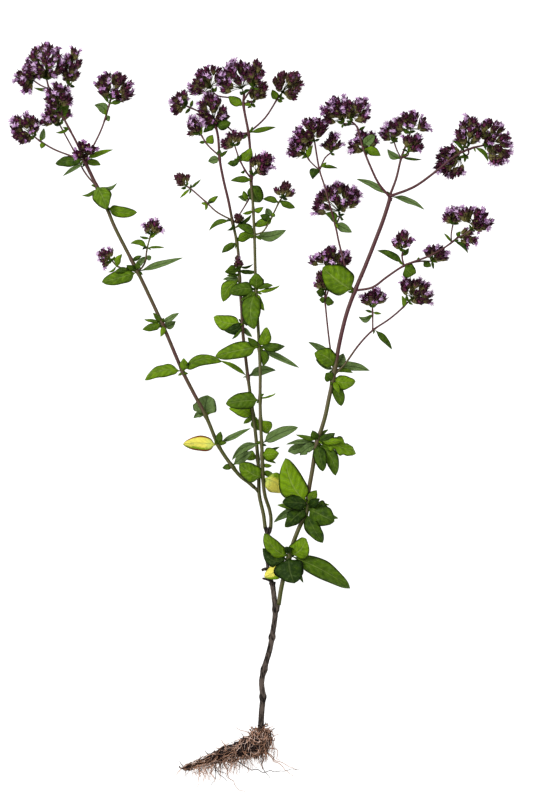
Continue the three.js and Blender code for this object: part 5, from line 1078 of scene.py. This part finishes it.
def stem_finish(colours):
    """Olive where it is young and purple where it is ripe, streaked, with a painted highlight along the side
    that faces the light.
    """
    finish = Finish("oregano_stem", 0.55, 0.25)
    streaks = finish.grain(finish.coordinates(1, 0.12, 1), 0.8, 2)
    patches = finish.grain(finish.coordinates(0.4, 1, 0.4), 0.05, 2)
    ripe = finish.plus(finish.number("ripe"), finish.scaled(patches, 0.8, -0.4))
    ripe = finish.span(finish.plus(ripe, finish.scaled(streaks, 1.1, -0.55)), 0.1, 0.9)
    body = finish.mix(ripe, colours.stem_olive, colours.stem_purple)
    # A highlight painted on the side that faces the light, streaked, and fainter where the stem is ripe.
    painted_highlight = finish.span(finish.plus(finish.number("flank"), finish.times(streaks, 0.4)), 0.75, 1.25)
    painted_highlight = finish.times(painted_highlight, finish.scaled(ripe, -0.24, 0.46))
    finish.colour(finish.mix(painted_highlight, body, colours.stem_highlight))
    finish.bump(streaks, 0.3)
    return finish.material


def bark_finish(colours):
    """Grey-brown, with dark furrows along the wood."""
    finish = Finish("oregano_bark", 0.85, 0.2)
    furrows = finish.grain(finish.coordinates(1, 0.15, 1), 1.1, 4)
    patches = finish.grain(finish.coordinates(), 0.12, 3)
    raised = finish.span(finish.plus(furrows, finish.scaled(patches, 0.6, -0.3)), 0.35, 0.65)
    finish.colour(finish.mix(raised, colours.bark_dark, colours.bark))
    finish.bump(furrows, 0.4)
    return finish.material


def rhizome_finish(colours):
    """Dark and crumbly, with paler skin at its bare end."""
    finish = Finish("oregano_rhizome", 0.9, 0.2)
    where = finish.coordinates()
    crumbs = finish.grain(where, 0.5, 5)
    across_plant = finish.node("ShaderNodeSeparateXYZ", where).outputs[0]
    body = finish.mix(finish.span(crumbs, 0.5, 0.75), colours.root, colours.bark)
    bare = finish.times(finish.span(across_plant, -46, -60), finish.span(crumbs, 0.4, 0.65))
    finish.colour(finish.mix(finish.times(bare, 0.6), body, colours.root_hair))
    finish.bump(crumbs, 0.8)
    return finish.material


def root_hair_finish(colours):
    """Each fine root has a tone of its own, from dark and old to pale and young."""
    finish = Finish("oregano_root_hair", 0.8, 0.15)
    tone = finish.number("tone")
    old = finish.mix(finish.span(tone, 0.25, 0.55), colours.root_dark, colours.root_hair)
    finish.colour(finish.mix(finish.span(tone, 0.65, 0.95), old, colours.root_pale))
    return finish.material


def bract_finish(name, colours, middle, tip):
    """Scales are olive at their feet and low on a spikelet, and dark at their tips and high up."""
    finish = Finish(name, 0.6, 0.2)
    along, tone, level = finish.numbers("scale")
    young = finish.mix(finish.span(tone, 0.6, 1.0), middle, colours.bract_magenta)
    ripeness = finish.scaled(level, 0.75, finish.times(along, 0.75))
    ripeness = finish.plus(ripeness, finish.scaled(tone, 0.3, -0.15))
    body = finish.mix(finish.span(ripeness, 0.35, 0.95), colours.bract_base, young)
    finish.colour(finish.mix(finish.times(finish.span(along, 0.55, 0.95), 0.8), body, tip))
    finish.bump(finish.grain(finish.coordinates(), 2.0), 0.1)
    return finish.material


def corolla_finish(colours):
    """A deep tube and lilac lips, paler in the larger flowers."""
    finish = Finish("oregano_corolla", 0.5, 0.3)
    along, size, _ = finish.numbers("scale")
    lip = finish.mix(finish.span(size, 0.85, 1.15), colours.corolla_deep, colours.corolla)
    finish.colour(finish.mix(finish.span(along, 0.2, 0.55), colours.corolla_tube, lip))
    return finish.material


# ---- Roots --------------------------------------------------------------------------------------------


class OREGANO_OT_rootstock(Operator):
    """Make the rootstock: a knobbly rhizome in a tangle of fine roots"""

    bl_idname = "oregano.rootstock"
    bl_label = "Rootstock"

    def execute(self, context):
        sizes, colours = context.scene.oregano_sizes, context.scene.oregano_colours
        route = route_through(ROOTSTOCK["rhizome"]["through"], RHIZOME_STEP)
        radii = radii_along(ROOTSTOCK["rhizome"]["radii"], len(route))
        crown = route_through(ROOTSTOCK["crown"]["through"], CROWN_STEP)
        crown_radii = taper(len(crown), *ROOTSTOCK["crown"]["radii"])
        rhizome(route, radii, crown, crown_radii, colours)
        root_hairs(route, radii, crown, crown_radii, sizes, colours)
        return {"FINISHED"}


def radii_along(stops, count):
    """The radius at each of so many points, between evenly spaced stops."""
    last = len(stops) - 1
    radii = []
    for i in range(count):
        place = i / (count - 1) * last
        before = min(int(place), last - 1)
        radii.append(stops[before] + (stops[before + 1] - stops[before]) * (place - before))
    return radii


def rhizome(route, radii, crown, crown_radii, colours):
    """The rhizome and its crown, knobbly and furrowed."""
    bm = bmesh.new()
    for vertex in tube(bm, route, radii, RHIZOME_COLUMNS) + tube(bm, crown, crown_radii, CROWN_COLUMNS):
        knob = sum(noise.noise(vertex.co * close) * high for close, high in KNOBS) - KNOB_HOLLOW
        centre = min(route, key=lambda point: (point - vertex.co).length_squared)
        vertex.co += (vertex.co - centre).normalized() * knob
    piece("rhizome", bm, [rhizome_finish(colours)], "roots", "rootstock")


def root_hairs(route, radii, crown, crown_radii, sizes, colours):
    """The rootlets and the fine roots that cover the rhizome and hang from it."""
    rng = random.Random(ROOT_SEED)
    noise.seed_set(CURL_SEED)
    bm = bmesh.new()
    layer = bm.verts.layers.float.new("tone")

    def root(path, start, end, columns, tone):
        paint(tube(bm, path, taper(len(path), start, end), columns), layer, tone)

    for rootlet in ROOTSTOCK["rootlets"]:
        root(rootlet_path(*rootlet), *ROOTLET_RADII, STOUT_COLUMNS, rng.uniform(*ROOTLET_TONE_RANGE))
    for _ in range(sizes.root_hairs):
        path, radius = clinging_path(route, radii, sizes.root_hair_radius / MM, rng)
        root(path, *(radius * share for share in ROOT_FLARE), FINE_COLUMNS, rng.random())
    carriers = list(zip(crown, crown[1:], crown_radii))
    carriers += list(zip(route, route[1:], radii))[: len(route) // 4]  # and the rhizome's thick end
    for _ in range(STUBS):
        path = stub_path(*rng.choice(carriers), rng)
        root(path, *STUB_RADII, STOUT_COLUMNS, rng.uniform(*STUB_TONE_RANGE))
    for _ in range(BEARD_HAIRS):
        root(beard_path(rng), *BEARD_RADII, FINE_COLUMNS, rng.random())
    for _ in range(FRINGE_HAIRS):
        root(fringe_path(rng), *FRINGE_RADII, FINE_COLUMNS, rng.uniform(*FRINGE_TONE_RANGE))
    piece("root_hairs", bm, [root_hair_finish(colours)], "roots", "rootstock")


def rootlet_path(x, y, z, tip_x, tip_y, tip_z, sag):
    """A longer root, which wanders once it is clear of its foot."""
    middle = Vector(((x + tip_x) / 2 + sag, (y + tip_y) / 2 + sag, (z + tip_z) / 2))
    path = route_through([(x, y, z), middle, (tip_x, tip_y, tip_z)], ROOTLET_STEP)
    for i, point in enumerate(path):
        wander = noise.noise_vector(point * ROOTLET_SWAY) * ROOTLET_WANDER
        path[i] = point + wander * min(1, i / ROOTLET_CLEAR)
    return path


def stub_path(start, end, girth, rng):
    """A short stiff root that stands out of the crown or of the thick end of the rhizome."""
    along = (end - start).normalized()
    way = Matrix.Rotation(rng.uniform(0, math.tau), 3, along) @ along.orthogonal().normalized()
    way.z = max(way.z, STEEPEST_STUB)
    way.normalize()
    path = [start + way * girth * STUB_FOOT]
    length = girth * 0.2 + rng.triangular(*STUB_LENGTHS)
    for _ in range(STUB_TURNS):
        way = (way + stray(rng, *STUB_STRAY) * STUB_WANDER).normalized()
        path.append(path[-1] + way * length / STUB_TURNS)
    return smooth_route(path, STUB_STEP)


def beard_path(rng):
    """A root that hangs below the crown."""
    x = rng.triangular(*BEARD_PLACES)
    height = BEARD_TOP - abs(x - BEARD_MIDDLE) * BEARD_SLOPE
    start = Vector((x, rng.uniform(*BEARD_FOOT_RANGE), height))
    aside, tip_y, tip_z = (rng.uniform(*pair) for pair in BEARD_TIP_RANGES)
    tip = Vector((x + aside, tip_y, tip_z))
    aside, lift = (rng.uniform(*pair) for pair in BEARD_BEND_RANGES)
    middle = start.lerp(tip, 0.55) + Vector((aside, -1, lift))
    path = smooth_route([start, middle, tip], BEARD_STEP)
    path = [p + noise.noise_vector(p * BEARD_SWAY + start) * BEARD_WANDER for p in path]
    return smooth_route(path, FINE_STEP)


def fringe_path(rng):
    """A loose root on the surface below the thin end of the rhizome."""
    x, z, below = (rng.uniform(*pair) for pair in FRINGE_FOOT_RANGES)
    foot = Vector((x, 0, z))
    foot.y = FRINGE_START[1] + FRINGE_SLOPE * (foot.x - FRINGE_START[0]) - below
    path = [foot]
    way = Vector((rng.uniform(*FRINGE_SPREAD), -1, -0.2))
    for _ in range(rng.randint(*FRINGE_TURNS)):
        way = (way + stray(rng, *FRINGE_STRAY)).normalized()
        path.append(path[-1] + way * rng.uniform(*FRINGE_TURN_RANGE))
        path[-1].z = max(path[-1].z, FRINGE_LIFT)
    return smooth_route(path, FRINGE_STEP)


def clinging_path(route, radii, radius, rng):
    """A fine root that strays over the rhizome and then hangs away from it, curling, and its radius."""
    ring = rng.random() ** CLING_CROWDING * (len(route) - BARE_STEPS)
    start, sweep = rng.uniform(*CLING_START_RANGE), rng.uniform(*CLING_SWEEP_RANGE)
    drift = rng.uniform(*CLING_DRIFT_RANGE)
    path = []
    for k in range(CLING_STEPS + 1):
        share = k / CLING_STEPS
        place = min(max(ring + drift * share + rng.uniform(*CLING_STRAY), 0), len(route) - 2)
        here = int(place)
        centre = route[here].lerp(route[here + 1], place - here)
        along = (route[here + 1] - route[here]).normalized()
        outer = UP.cross(along).normalized()
        outer = outer if outer.y < 0 else -outer
        angle = start - sweep * share
        out = outer * math.cos(angle) + UP * math.sin(angle)
        path.append(centre + out * (radii[here] + CLING_HEIGHT + rng.uniform(*CLING_LIFT_RANGE)))
    leave = (path[-1] - path[-2]).normalized() * 0.5 + Vector((rng.uniform(*HANG_SPREAD), -1, -0.3))
    is_middle = RHIZOME_MIDDLE[0] < ring / len(route) < RHIZOME_MIDDLE[1]
    long_share = LONG_SHARES[0] if is_middle else LONG_SHARES[1]
    hang = rng.uniform(*(SHORT_HANG_RANGE if rng.random() > long_share else LONG_HANG_RANGE))
    if angle > FAR_SIDE:  # a root there stays short and stands out of the rhizome
        leave = out + along * rng.uniform(*FAR_SPREAD)
        hang = rng.uniform(*FAR_HANG_RANGE)
    is_long = hang >= LONG_HANG_RANGE[0]
    radius *= LONG_HANG_THICKNESS if is_long else rng.triangular(*HANG_THICKNESSES)
    swirl = rng.random() * SWIRLS
    for k in range(1, HANG_TURNS + 1):
        curl = noise.noise_vector(Vector((swirl, k * HANG_SWAY, hang))) * HANG_CURL
        path.append(path[-1] + leave.normalized() * hang / HANG_TURNS + curl * min(1, hang / FULL_CURL))
        path[-1].z = max(path[-1].z, radius)
    return smooth_route(path, FINE_STEP), radius


# ---- Wood and stems -----------------------------------------------------------------------------------


class OREGANO_OT_woody_base(Operator):
    """Make the woody base: the old forked stem with its nodes"""

    bl_idname = "oregano.woody_base"
    bl_label = "Woody base"

    def execute(self, context):
        bm = bmesh.new()
        lines = WOODY_BASE["lines"]
        routes = routes_of(lines, WOOD_STEP)
        routes[0] = rooted(routes[0], CROWN_SOCKET)
        for line, route in zip(lines, routes):
            radii = taper(len(route), *line["radii"])
            for i, point in enumerate(route):
                node = max(math.exp(-(((point.y - y) / WOODY_NODE_REACH) ** 2)) for y in WOODY_NODES)
                radii[i] *= 1 + WOODY_NODE_SWELLING * node + WOOD_UNEVENNESS * noise.noise(point * WOOD_LUMPS)
            tube(bm, route, radii, WOOD_COLUMNS)
        piece("bark", bm, [bark_finish(context.scene.oregano_colours)], "wood", "woody_base")
        return {"FINISHED"}


def rooted(route, depth):
    """The route with a point before it, this deep in what carries it."""
    return [route[0] - (route[1] - route[0]).normalized() * depth, *route]


class OREGANO_OT_leafy_stems(Operator):
    """Make the four leafy stems: their stems and branches, and their leaves"""

    bl_idname = "oregano.leafy_stems"
    bl_label = "Leafy stems"

    def execute(self, context):
        sizes, colours = context.scene.oregano_sizes, context.scene.oregano_colours
        for name, layout in LEAFY_STEMS.items():
            routes = routes_of(layout["lines"], STEM_STEP)
            node = f"{name}_leafy_stem"
            feet = [nearest(routes, *line[:2]) for line in layout["leaves"]]
            stems(f"{name}_stems", layout, routes, feet, node, sizes, colours)
            leaves(f"{name}_leaves", layout, routes, feet, node, sizes, colours)
        return {"FINISHED"}


def stems(name, layout, routes, feet, node, sizes, colours):
    """The stem and branches of a leafy stem, with their hairs."""
    rng = random.Random(name)
    bm = bmesh.new()
    flank, ripe = bm.verts.layers.float.new("flank"), bm.verts.layers.float.new("ripe")
    ripening = layout["ripening"]
    for line, route in zip(layout["lines"], [rooted(routes[0], SOCKET), *routes[1:]]):
        radii = taper(len(route), *line["radii"])
        for i, point in enumerate(route):
            gap = min((point - foot).length for foot in feet)
            radii[i] *= 1 + sizes.node_swelling * math.exp(-((gap / NODE_REACH) ** 2))
        tube(bm, route, radii, STEM_COLUMNS, STEM_SQUARENESS)
        stem_hairs(bm, route, radii, sizes.hair_length / MM, rng)
    bm.normal_update()
    # flank is how squarely a vertex faces the light; the stem material paints a highlight there.
    for vertex in bm.verts:
        vertex[flank] = vertex.normal.dot(LIT_SIDE)
        vertex[ripe] = profile(ripening, min(max(vertex.co.y, ripening[0][0]), ripening[-1][0]))
    piece(name, bm, [stem_finish(colours)], "stems_and_leaves", node)


def stem_hairs(bm, points, radii, length, rng):
    """Short hairs that stand out all round a stem."""
    for start, end, radius in zip(points, points[1:], radii):
        along = (end - start).normalized()
        side = along.orthogonal().normalized()
        for _ in range(HAIRS_PER_STEP):
            out = Matrix.Rotation(rng.uniform(0, math.tau), 3, along) @ side
            foot = start.lerp(end, rng.random()) + out * radius * HAIR_FOOT
            way = (out + along * rng.uniform(-HAIR_LEAN, HAIR_LEAN)).normalized()
            tip = foot + way * length * rng.uniform(*HAIR_SIZE_RANGE)
            tube(bm, [foot, tip], [HAIR_RADIUS, HAIR_RADIUS * HAIR_TIP], HAIR_COLUMNS)


# ---- Leaves -------------------------------------------------------------------------------------------


def leaves(name, layout, routes, feet, node, sizes, colours):
    """The leaves of a leafy stem, the little ones in their axils and those under the flower heads."""
    rng = random.Random(name)
    bm = bmesh.new()
    layers = bm.verts.layers.float_vector.new("blade"), bm.verts.layers.float.new("tone")
    for (_, _, x, y, z, width, turn, sweep, *look), foot in zip(layout["leaves"], feet):
        tone, crumple = (*look, *(ORDINARY, 0)[len(look) :])
        shade = rng.uniform(*ORDINARY_TONE_RANGE) if tone is ORDINARY else tone
        tip = Vector((x, y, z))
        leaf(bm, layers, foot, tip, width, turn, sweep, shade, rng, sizes, crumple)
        if (tip - foot).length > AXIL_LEAF:
            side = rng.choice((-1, 1))
            way = Matrix.Rotation(side * rng.uniform(*AXIL_WAY_RANGE), 3, "Z") @ (tip - foot).normalized()
            size = rng.uniform(*AXIL_SIZE_RANGE)
            small_tip = foot + (way + UP * rng.uniform(*AXIL_RISE_RANGE)).normalized() * size
            look = [rng.uniform(*pair) for pair in AXIL_LOOK_RANGES]
            leaf(bm, layers, foot, small_tip, size * AXIL_WIDTH, *look, rng, sizes)
    for line, route in zip(layout["lines"], routes):
        if line["head"]:
            head_leaves(bm, layers, route, rng, sizes)
    # Both faces of a thin blade are split along the same diagonals, so that they don't cross.
    bmesh.ops.triangulate(bm, faces=bm.faces[:], quad_method="SHORT_EDGE")
    piece(name, bm, [leaf_finish(colours)], "stems_and_leaves", node)


def head_leaves(bm, layers, route, rng, sizes):
    """The little leaves at the foot of a flower head."""
    foot = route[-1]
    along = (foot - route[-2]).normalized()
    out = along.cross(UP).normalized()
    first = rng.uniform(0, math.tau)
    for k in range(HEAD_LEAVES):
        way = Matrix.Rotation(first + math.tau * k / HEAD_LEAVES, 3, along) @ out
        way += along * rng.uniform(*HEAD_LEAF_RISE_RANGE)
        size = rng.uniform(*HEAD_LEAF_SIZE_RANGE)
        tip = foot + way.normalized() * size
        tip.z = max(tip.z, LEAST_LIFT)
        look = [rng.uniform(*pair) for pair in HEAD_LEAF_LOOK_RANGES]
        leaf(bm, layers, foot, tip, size * rng.uniform(*HEAD_LEAF_WIDTH_RANGE), *look, rng, sizes)


def leaf(bm, layers, foot, tip, width, turn, sweep, tone, rng, sizes, crumple=0):
    """Adds a leaf: a thin bowed blade, folded along its midrib, with a waved edge."""
    lengthwise = tip - foot
    length = lengthwise.length
    lengthwise.normalize()
    leftwards = UP.cross(lengthwise).normalized()
    upwards = (UP - lengthwise * lengthwise.z).normalized()
    upwards = Matrix.Rotation(math.radians(turn), 3, lengthwise) @ upwards
    sideways = upwards.cross(lengthwise)
    outline = SHORT_OUTLINE if length < SHORT_LEAF else PLAIN_OUTLINE if width < WIDE_LEAF else FULL_OUTLINE
    thickness = sizes.leaf_thickness / MM
    fold = sizes.midrib_height / MM * (FOLD_SHARE + FOLD_PER_WIDTH * width) * rng.uniform(*FOLD_RANGE)
    ripple = sizes.leaf_ripple * width * (rng.uniform(*RIPPLE_RANGE) + crumple)
    phase, waves = rng.random(), rng.uniform(*WAVES_RANGE) + crumple * CRUMPLED["waves"]
    sweep = (sweep + rng.uniform(*SWEEP_RANGE)) * length
    curl = math.radians(rng.uniform(*CURL_RANGE))
    patch = rng.random() * NOISE_REACH
    notches = NOTCHES + crumple * CRUMPLED["notches"]
    notch_depth = NOTCH_DEPTH + CRUMPLED["depth"] * crumple
    blade, tone_layer = layers

    def place(vertex, along, around):
        across, side = bend_across(around)
        vertex[blade] = (across, along, side)
        vertex[tone_layer] = tone
        bow = 4 * along * (1 - along)
        uneven = noise.noise(Vector((patch, along * notches, math.copysign(FLANK_SHIFT, across))))
        half = max(profile(outline, along), 0) * width * (1 + notch_depth * uneven * bow)
        wave = ripple * across * across * math.sin(math.tau * (along * waves + phase)) * bow
        thick = thickness * (1 - across * across) * side / 2
        ridge = fold * (1 - abs(across) ** FOLD_ROUNDNESS) * min(1, FOLD_RISE * bow)
        lift = ridge + sizes.leaf_arch * length * bow + wave + thick
        twist = curl * along * along
        reach = across * half
        return (
            foot
            + lengthwise * (along * length)
            + leftwards * (sweep * bow)
            + sideways * (reach * math.cos(twist))
            + upwards * (lift + reach * math.sin(twist))
        )

    skin(bm, LEAF_COLUMNS, LEAF_ROWS if length > AXIL_LEAF else SMALL_LEAF_ROWS, place)


# ---- Flower heads -------------------------------------------------------------------------------------


class OREGANO_OT_flower_heads(Operator):
    """Make the flower heads: spikelets of dark scales with lilac flowers"""

    bl_idname = "oregano.flower_heads"
    bl_label = "Flower heads"

    def execute(self, context):
        sizes, colours = context.scene.oregano_sizes, context.scene.oregano_colours
        fresh = bract_finish("oregano_bract", colours, colours.bract, colours.bract_tip)
        ripe = bract_finish("oregano_ripe_bract", colours, colours.bract_ripe, colours.bract)
        petals, stalk = corolla_finish(colours), stem_finish(colours)
        spikelets = [spikelet(flowers, SPIKELET_SEED + flowers, sizes) for flowers in SPIKELET_FLOWERS]
        for layout in LEAFY_STEMS.values():
            for line, route in zip(layout["lines"], routes_of(layout["lines"], STEM_STEP)):
                if not line["head"]:
                    continue
                node, *form, bloom, sweep = line["head"]
                bm = bmesh.new()
                bm.verts.layers.float_vector.new("scale")
                head(bm, route, node, *form, bloom, sweep, spikelets)
                scales = ripe if bloom < RIPE_BLOOM else fresh
                piece(f"{node}_flowers", bm, [scales, petals, stalk], "flowers", node)
        for mesh in spikelets:
            bpy.data.meshes.remove(mesh)
        return {"FINISHED"}


def head(bm, route, node, heading, climb, reach, height, bloom, sweep, spikelets):
    """Adds a head: spikelets on stalks that spread from its foot to its round outside."""
    rng = random.Random(node)
    tangent = (route[-1] - route[-2]).normalized()
    foot = route[-1] + tangent * HEAD_GAP
    axis = direction_of(heading, climb)
    across = direction_of(heading + 90, 0)
    over = axis.cross(across)
    fork = foot + axis * height * HEAD_FORK
    give_material(tube(bm, [route[-1] - tangent, foot, fork], FOOT_RADII, FOOT_COLUMNS), 2)
    area = reach * height * (HEAD_COVER[0] + sweep / HEAD_COVER[1])
    count = max(FEWEST_SPIKELETS, round(area / HEAD_AREA_PER_SPIKELET))
    for k in range(count):
        rise = 1 - k / count * sweep
        turn = k * GOLDEN_ANGLE + rng.uniform(*SPIKELET_TURN_RANGE)
        ring = math.sqrt(max(1 - rise * rise, 0)) * reach
        share = HEAD_CENTRE + rise * ((1 - HEAD_CENTRE) if rise > 0 else HEAD_CENTRE)
        tip = foot + axis * height * share + across * (ring * math.cos(turn))
        tip += over * (ring * math.sin(turn) * HEAD_FLATTENING)
        run = tip - fork
        length = min(SPIKELET_LENGTH, run.length * SPIKELET_SHARE) * rng.uniform(*SPIKELET_SIZE_RANGE)
        way = (run.normalized() + axis * SPIKELET_UPTURN).normalized()
        base = tip - way * length
        flowers = min(len(spikelets) - 1, int(rng.random() * bloom * len(spikelets)))
        long = length / SPIKELET_LENGTH
        girth = max(long, LEAST_GIRTH)
        turned = way.to_track_quat("Z", "Y").to_matrix().to_4x4()
        turned = turned @ Matrix.Rotation(rng.uniform(0, math.tau), 4, "Z")
        size = Matrix.Diagonal((girth, girth, long, 1))
        stamp(bm, spikelets[flowers], Matrix.Translation(base) @ turned @ size)
        middle = fork.lerp(base, 0.5) + axis * STALK_BEND
        stalk = [fork - axis * STALK_ENDS[0], middle, base + way * STALK_ENDS[1]]
        give_material(tube(bm, stalk, STALK_RADII, STALK_COLUMNS), 2)


def stamp(bm, mesh, matrix):
    """Adds a copy of the mesh, moved by the matrix."""
    copy = mesh.copy()
    copy.transform(matrix)
    bm.from_mesh(copy)
    bpy.data.meshes.remove(copy)


def spikelet(flowers, seed, sizes):
    """A mesh of one spikelet along +Z: levels of scales round a core, with open flowers between them."""
    rng = random.Random(seed)
    bm = bmesh.new()
    layer = bm.verts.layers.float_vector.new("scale")
    core = tube(bm, [Vector((0, 0, z)) for z in CORE_HEIGHTS], CORE_RADII, CORE_COLUMNS)
    paint(core, layer, CORE_SCALE)
    for level in range(SPIKELET_LEVELS):
        for side in range(BRACTS_PER_LEVEL):
            turn = math.tau * (side + level / 2) / BRACTS_PER_LEVEL + rng.uniform(*BRACT_TURN_RANGE)
            bract(bm, layer, level, turn, rng, sizes)
    for _ in range(flowers):
        turn = rng.uniform(0, math.tau)
        lean = Matrix.Rotation(rng.uniform(*COROLLA_LEAN_RANGE), 4, (-math.sin(turn), math.cos(turn), 0))
        foot = round_z(COROLLA_FOOT_RADIUS, turn, rng.uniform(*COROLLA_FOOT_RANGE))
        corolla(bm, layer, Matrix.Translation(foot) @ lean @ Matrix.Rotation(turn, 4, "Z"), rng)
    return mesh_of("spikelet", bm)


def bract(bm, layer, level, turn, rng, sizes):
    """Adds a scale that wraps round a spikelet: pointed, cupped and flaring at its tip."""
    length = sizes.bract_length / MM * rng.uniform(*BRACT_LENGTH_RANGE)
    width = sizes.bract_width / MM * rng.uniform(*BRACT_WIDTH_RANGE)
    tone = rng.random()
    flare = rng.uniform(*BRACT_FLARE_RANGE)

    def place(vertex, along, around):
        across, side = bend_across(around)
        vertex[layer] = (along, tone, level / (SPIKELET_LEVELS - 1))
        half = width / 2 * math.sin(math.pi * along**BRACT_WIDEST) ** BRACT_ROUNDNESS
        belly = BRACT_BELLY * math.sin(math.pi * along * BELLY_PLACE)
        radius = LEVEL_RADII[level] + belly + flare * along * along
        angle = turn + across * half / max(radius, LEAST_WRAP)
        radius += BRACT_THICKNESS * (1 - across * across) * side * math.sin(math.pi * along)
        return round_z(radius, angle, level * LEVEL_STEP + length * along)

    skin(bm, BRACT_COLUMNS, BRACT_ROWS, place)


def corolla(bm, layer, matrix, rng):
    """Adds an open flower: a slender tube that widens to two lips, with its stamens."""
    size = rng.uniform(*COROLLA_SIZE_RANGE)
    even, by_lobe, by_side = COROLLA_LIP_RADIUS

    def place(vertex, along, around):
        ring = round(along * (len(COROLLA_RINGS) - 1))
        radius, height = COROLLA_RINGS[ring]
        angle = math.tau * around
        if ring == COROLLA_LIP:
            lobe, side = math.cos(COROLLA_LOBES * angle), math.cos(angle)
            radius *= even + by_lobe * lobe + by_side * side
            height += COROLLA_LIP_RISE * (lobe + side)
        vertex[layer] = (height / COROLLA_HEIGHT, size, 1)
        return matrix @ round_z(radius * size, angle, height * size)

    give_material(skin(bm, COROLLA_COLUMNS, len(COROLLA_RINGS) - 1, place), 1)
    for turn in STAMEN_TURNS:
        foot, tip = (round_z(radius, turn, height) for radius, height in (STAMEN_FOOT, STAMEN_TIP))
        tip *= size
        path = [matrix @ point for point in (foot, foot.lerp(tip, STAMEN_NECK), tip)]
        stamen = tube(bm, path, STAMEN_RADII, STAMEN_COLUMNS)
        paint(stamen, layer, STAMEN_SCALE)
        give_material(stamen, 1)


# ---- Stage --------------------------------------------------------------------------------------------


class OREGANO_OT_stage(Operator):
    """Make the floor, the lights and the camera"""

    bl_idname = "oregano.stage"
    bl_label = "Stage"

    def execute(self, context):
        floor(context.scene.oregano_colours)
        lights(context.scene)
        camera(context.scene)
        return {"FINISHED"}


def floor(colours):
    bm = bmesh.new()
    bmesh.ops.create_grid(bm, x_segments=1, y_segments=1, size=FLOOR_REACH)
    finish = Finish("floor_paper", 0.9, 0.1)
    finish.colour(colours.floor)
    finish.shader.inputs["Emission Color"].default_value = (1, 1, 1, 1)
    finish.shader.inputs["Emission Strength"].default_value = FLOOR_GLOW
    made = show("floor", mesh_of("floor", bm))
    made.data.materials.append(finish.material)


def lights(scene):
    world = bpy.data.worlds.new("studio")
    world.use_nodes = True
    background = world.node_tree.nodes["Background"]
    background.inputs["Color"].default_value = (1, 1, 1, 1)
    background.inputs["Strength"].default_value = SKY_STRENGTH
    scene.world = world
    for name, place, size, power in LAMPS:
        data = bpy.data.lights.new(name, "AREA")
        data.size, data.energy = size, power
        lamp = show(name, data)
        lamp.location = place
        lamp.rotation_euler = (-Vector(place)).to_track_quat("-Z", "Y").to_euler()


def camera(scene):
    data = bpy.data.cameras.new("camera")
    data.lens = 150
    data.sensor_width = 36
    data.clip_end = 20
    scene.camera = show("camera", data)
    scene.camera.location = Vector(VIEW_CENTRE) + UP * scene.oregano_sizes.camera_height
    scene.view_settings.view_transform = "Standard"
    scene.view_settings.look = "Medium High Contrast"


# ---- Add-on -------------------------------------------------------------------------------------------


class OREGANO_PT_panel(Panel):
    """Lists the pieces of the plant"""

    bl_label = "Oregano plant"
    bl_idname = "OREGANO_PT_panel"
    bl_space_type = "VIEW_3D"
    bl_region_type = "UI"
    bl_category = "Oregano"

    def draw(self, context):
        for operator in OPERATORS:
            self.layout.operator(operator.bl_idname)
        for group in (context.scene.oregano_sizes, context.scene.oregano_colours):
            box = self.layout.box()
            for name in group.__annotations__:
                box.prop(group, name)


OPERATORS = (
    OREGANO_OT_stage,
    OREGANO_OT_rootstock,
    OREGANO_OT_woody_base,
    OREGANO_OT_leafy_stems,
    OREGANO_OT_flower_heads,
)
CLASSES = (OreganoSizes, OreganoColours, *OPERATORS, OREGANO_PT_panel)


def register():
    for cls in CLASSES:
        bpy.utils.register_class(cls)
    bpy.types.Scene.oregano_sizes = PointerProperty(type=OreganoSizes)
    bpy.types.Scene.oregano_colours = PointerProperty(type=OreganoColours)


def unregister():
    del bpy.types.Scene.oregano_colours
    del bpy.types.Scene.oregano_sizes
    for cls in reversed(CLASSES):
        bpy.utils.unregister_class(cls)


def main():
    register()
    bpy.ops.oregano.stage()
    bpy.ops.oregano.rootstock()
    bpy.ops.oregano.woody_base()
    bpy.ops.oregano.leafy_stems()
    bpy.ops.oregano.flower_heads()


if __name__ == "__main__":
    main()
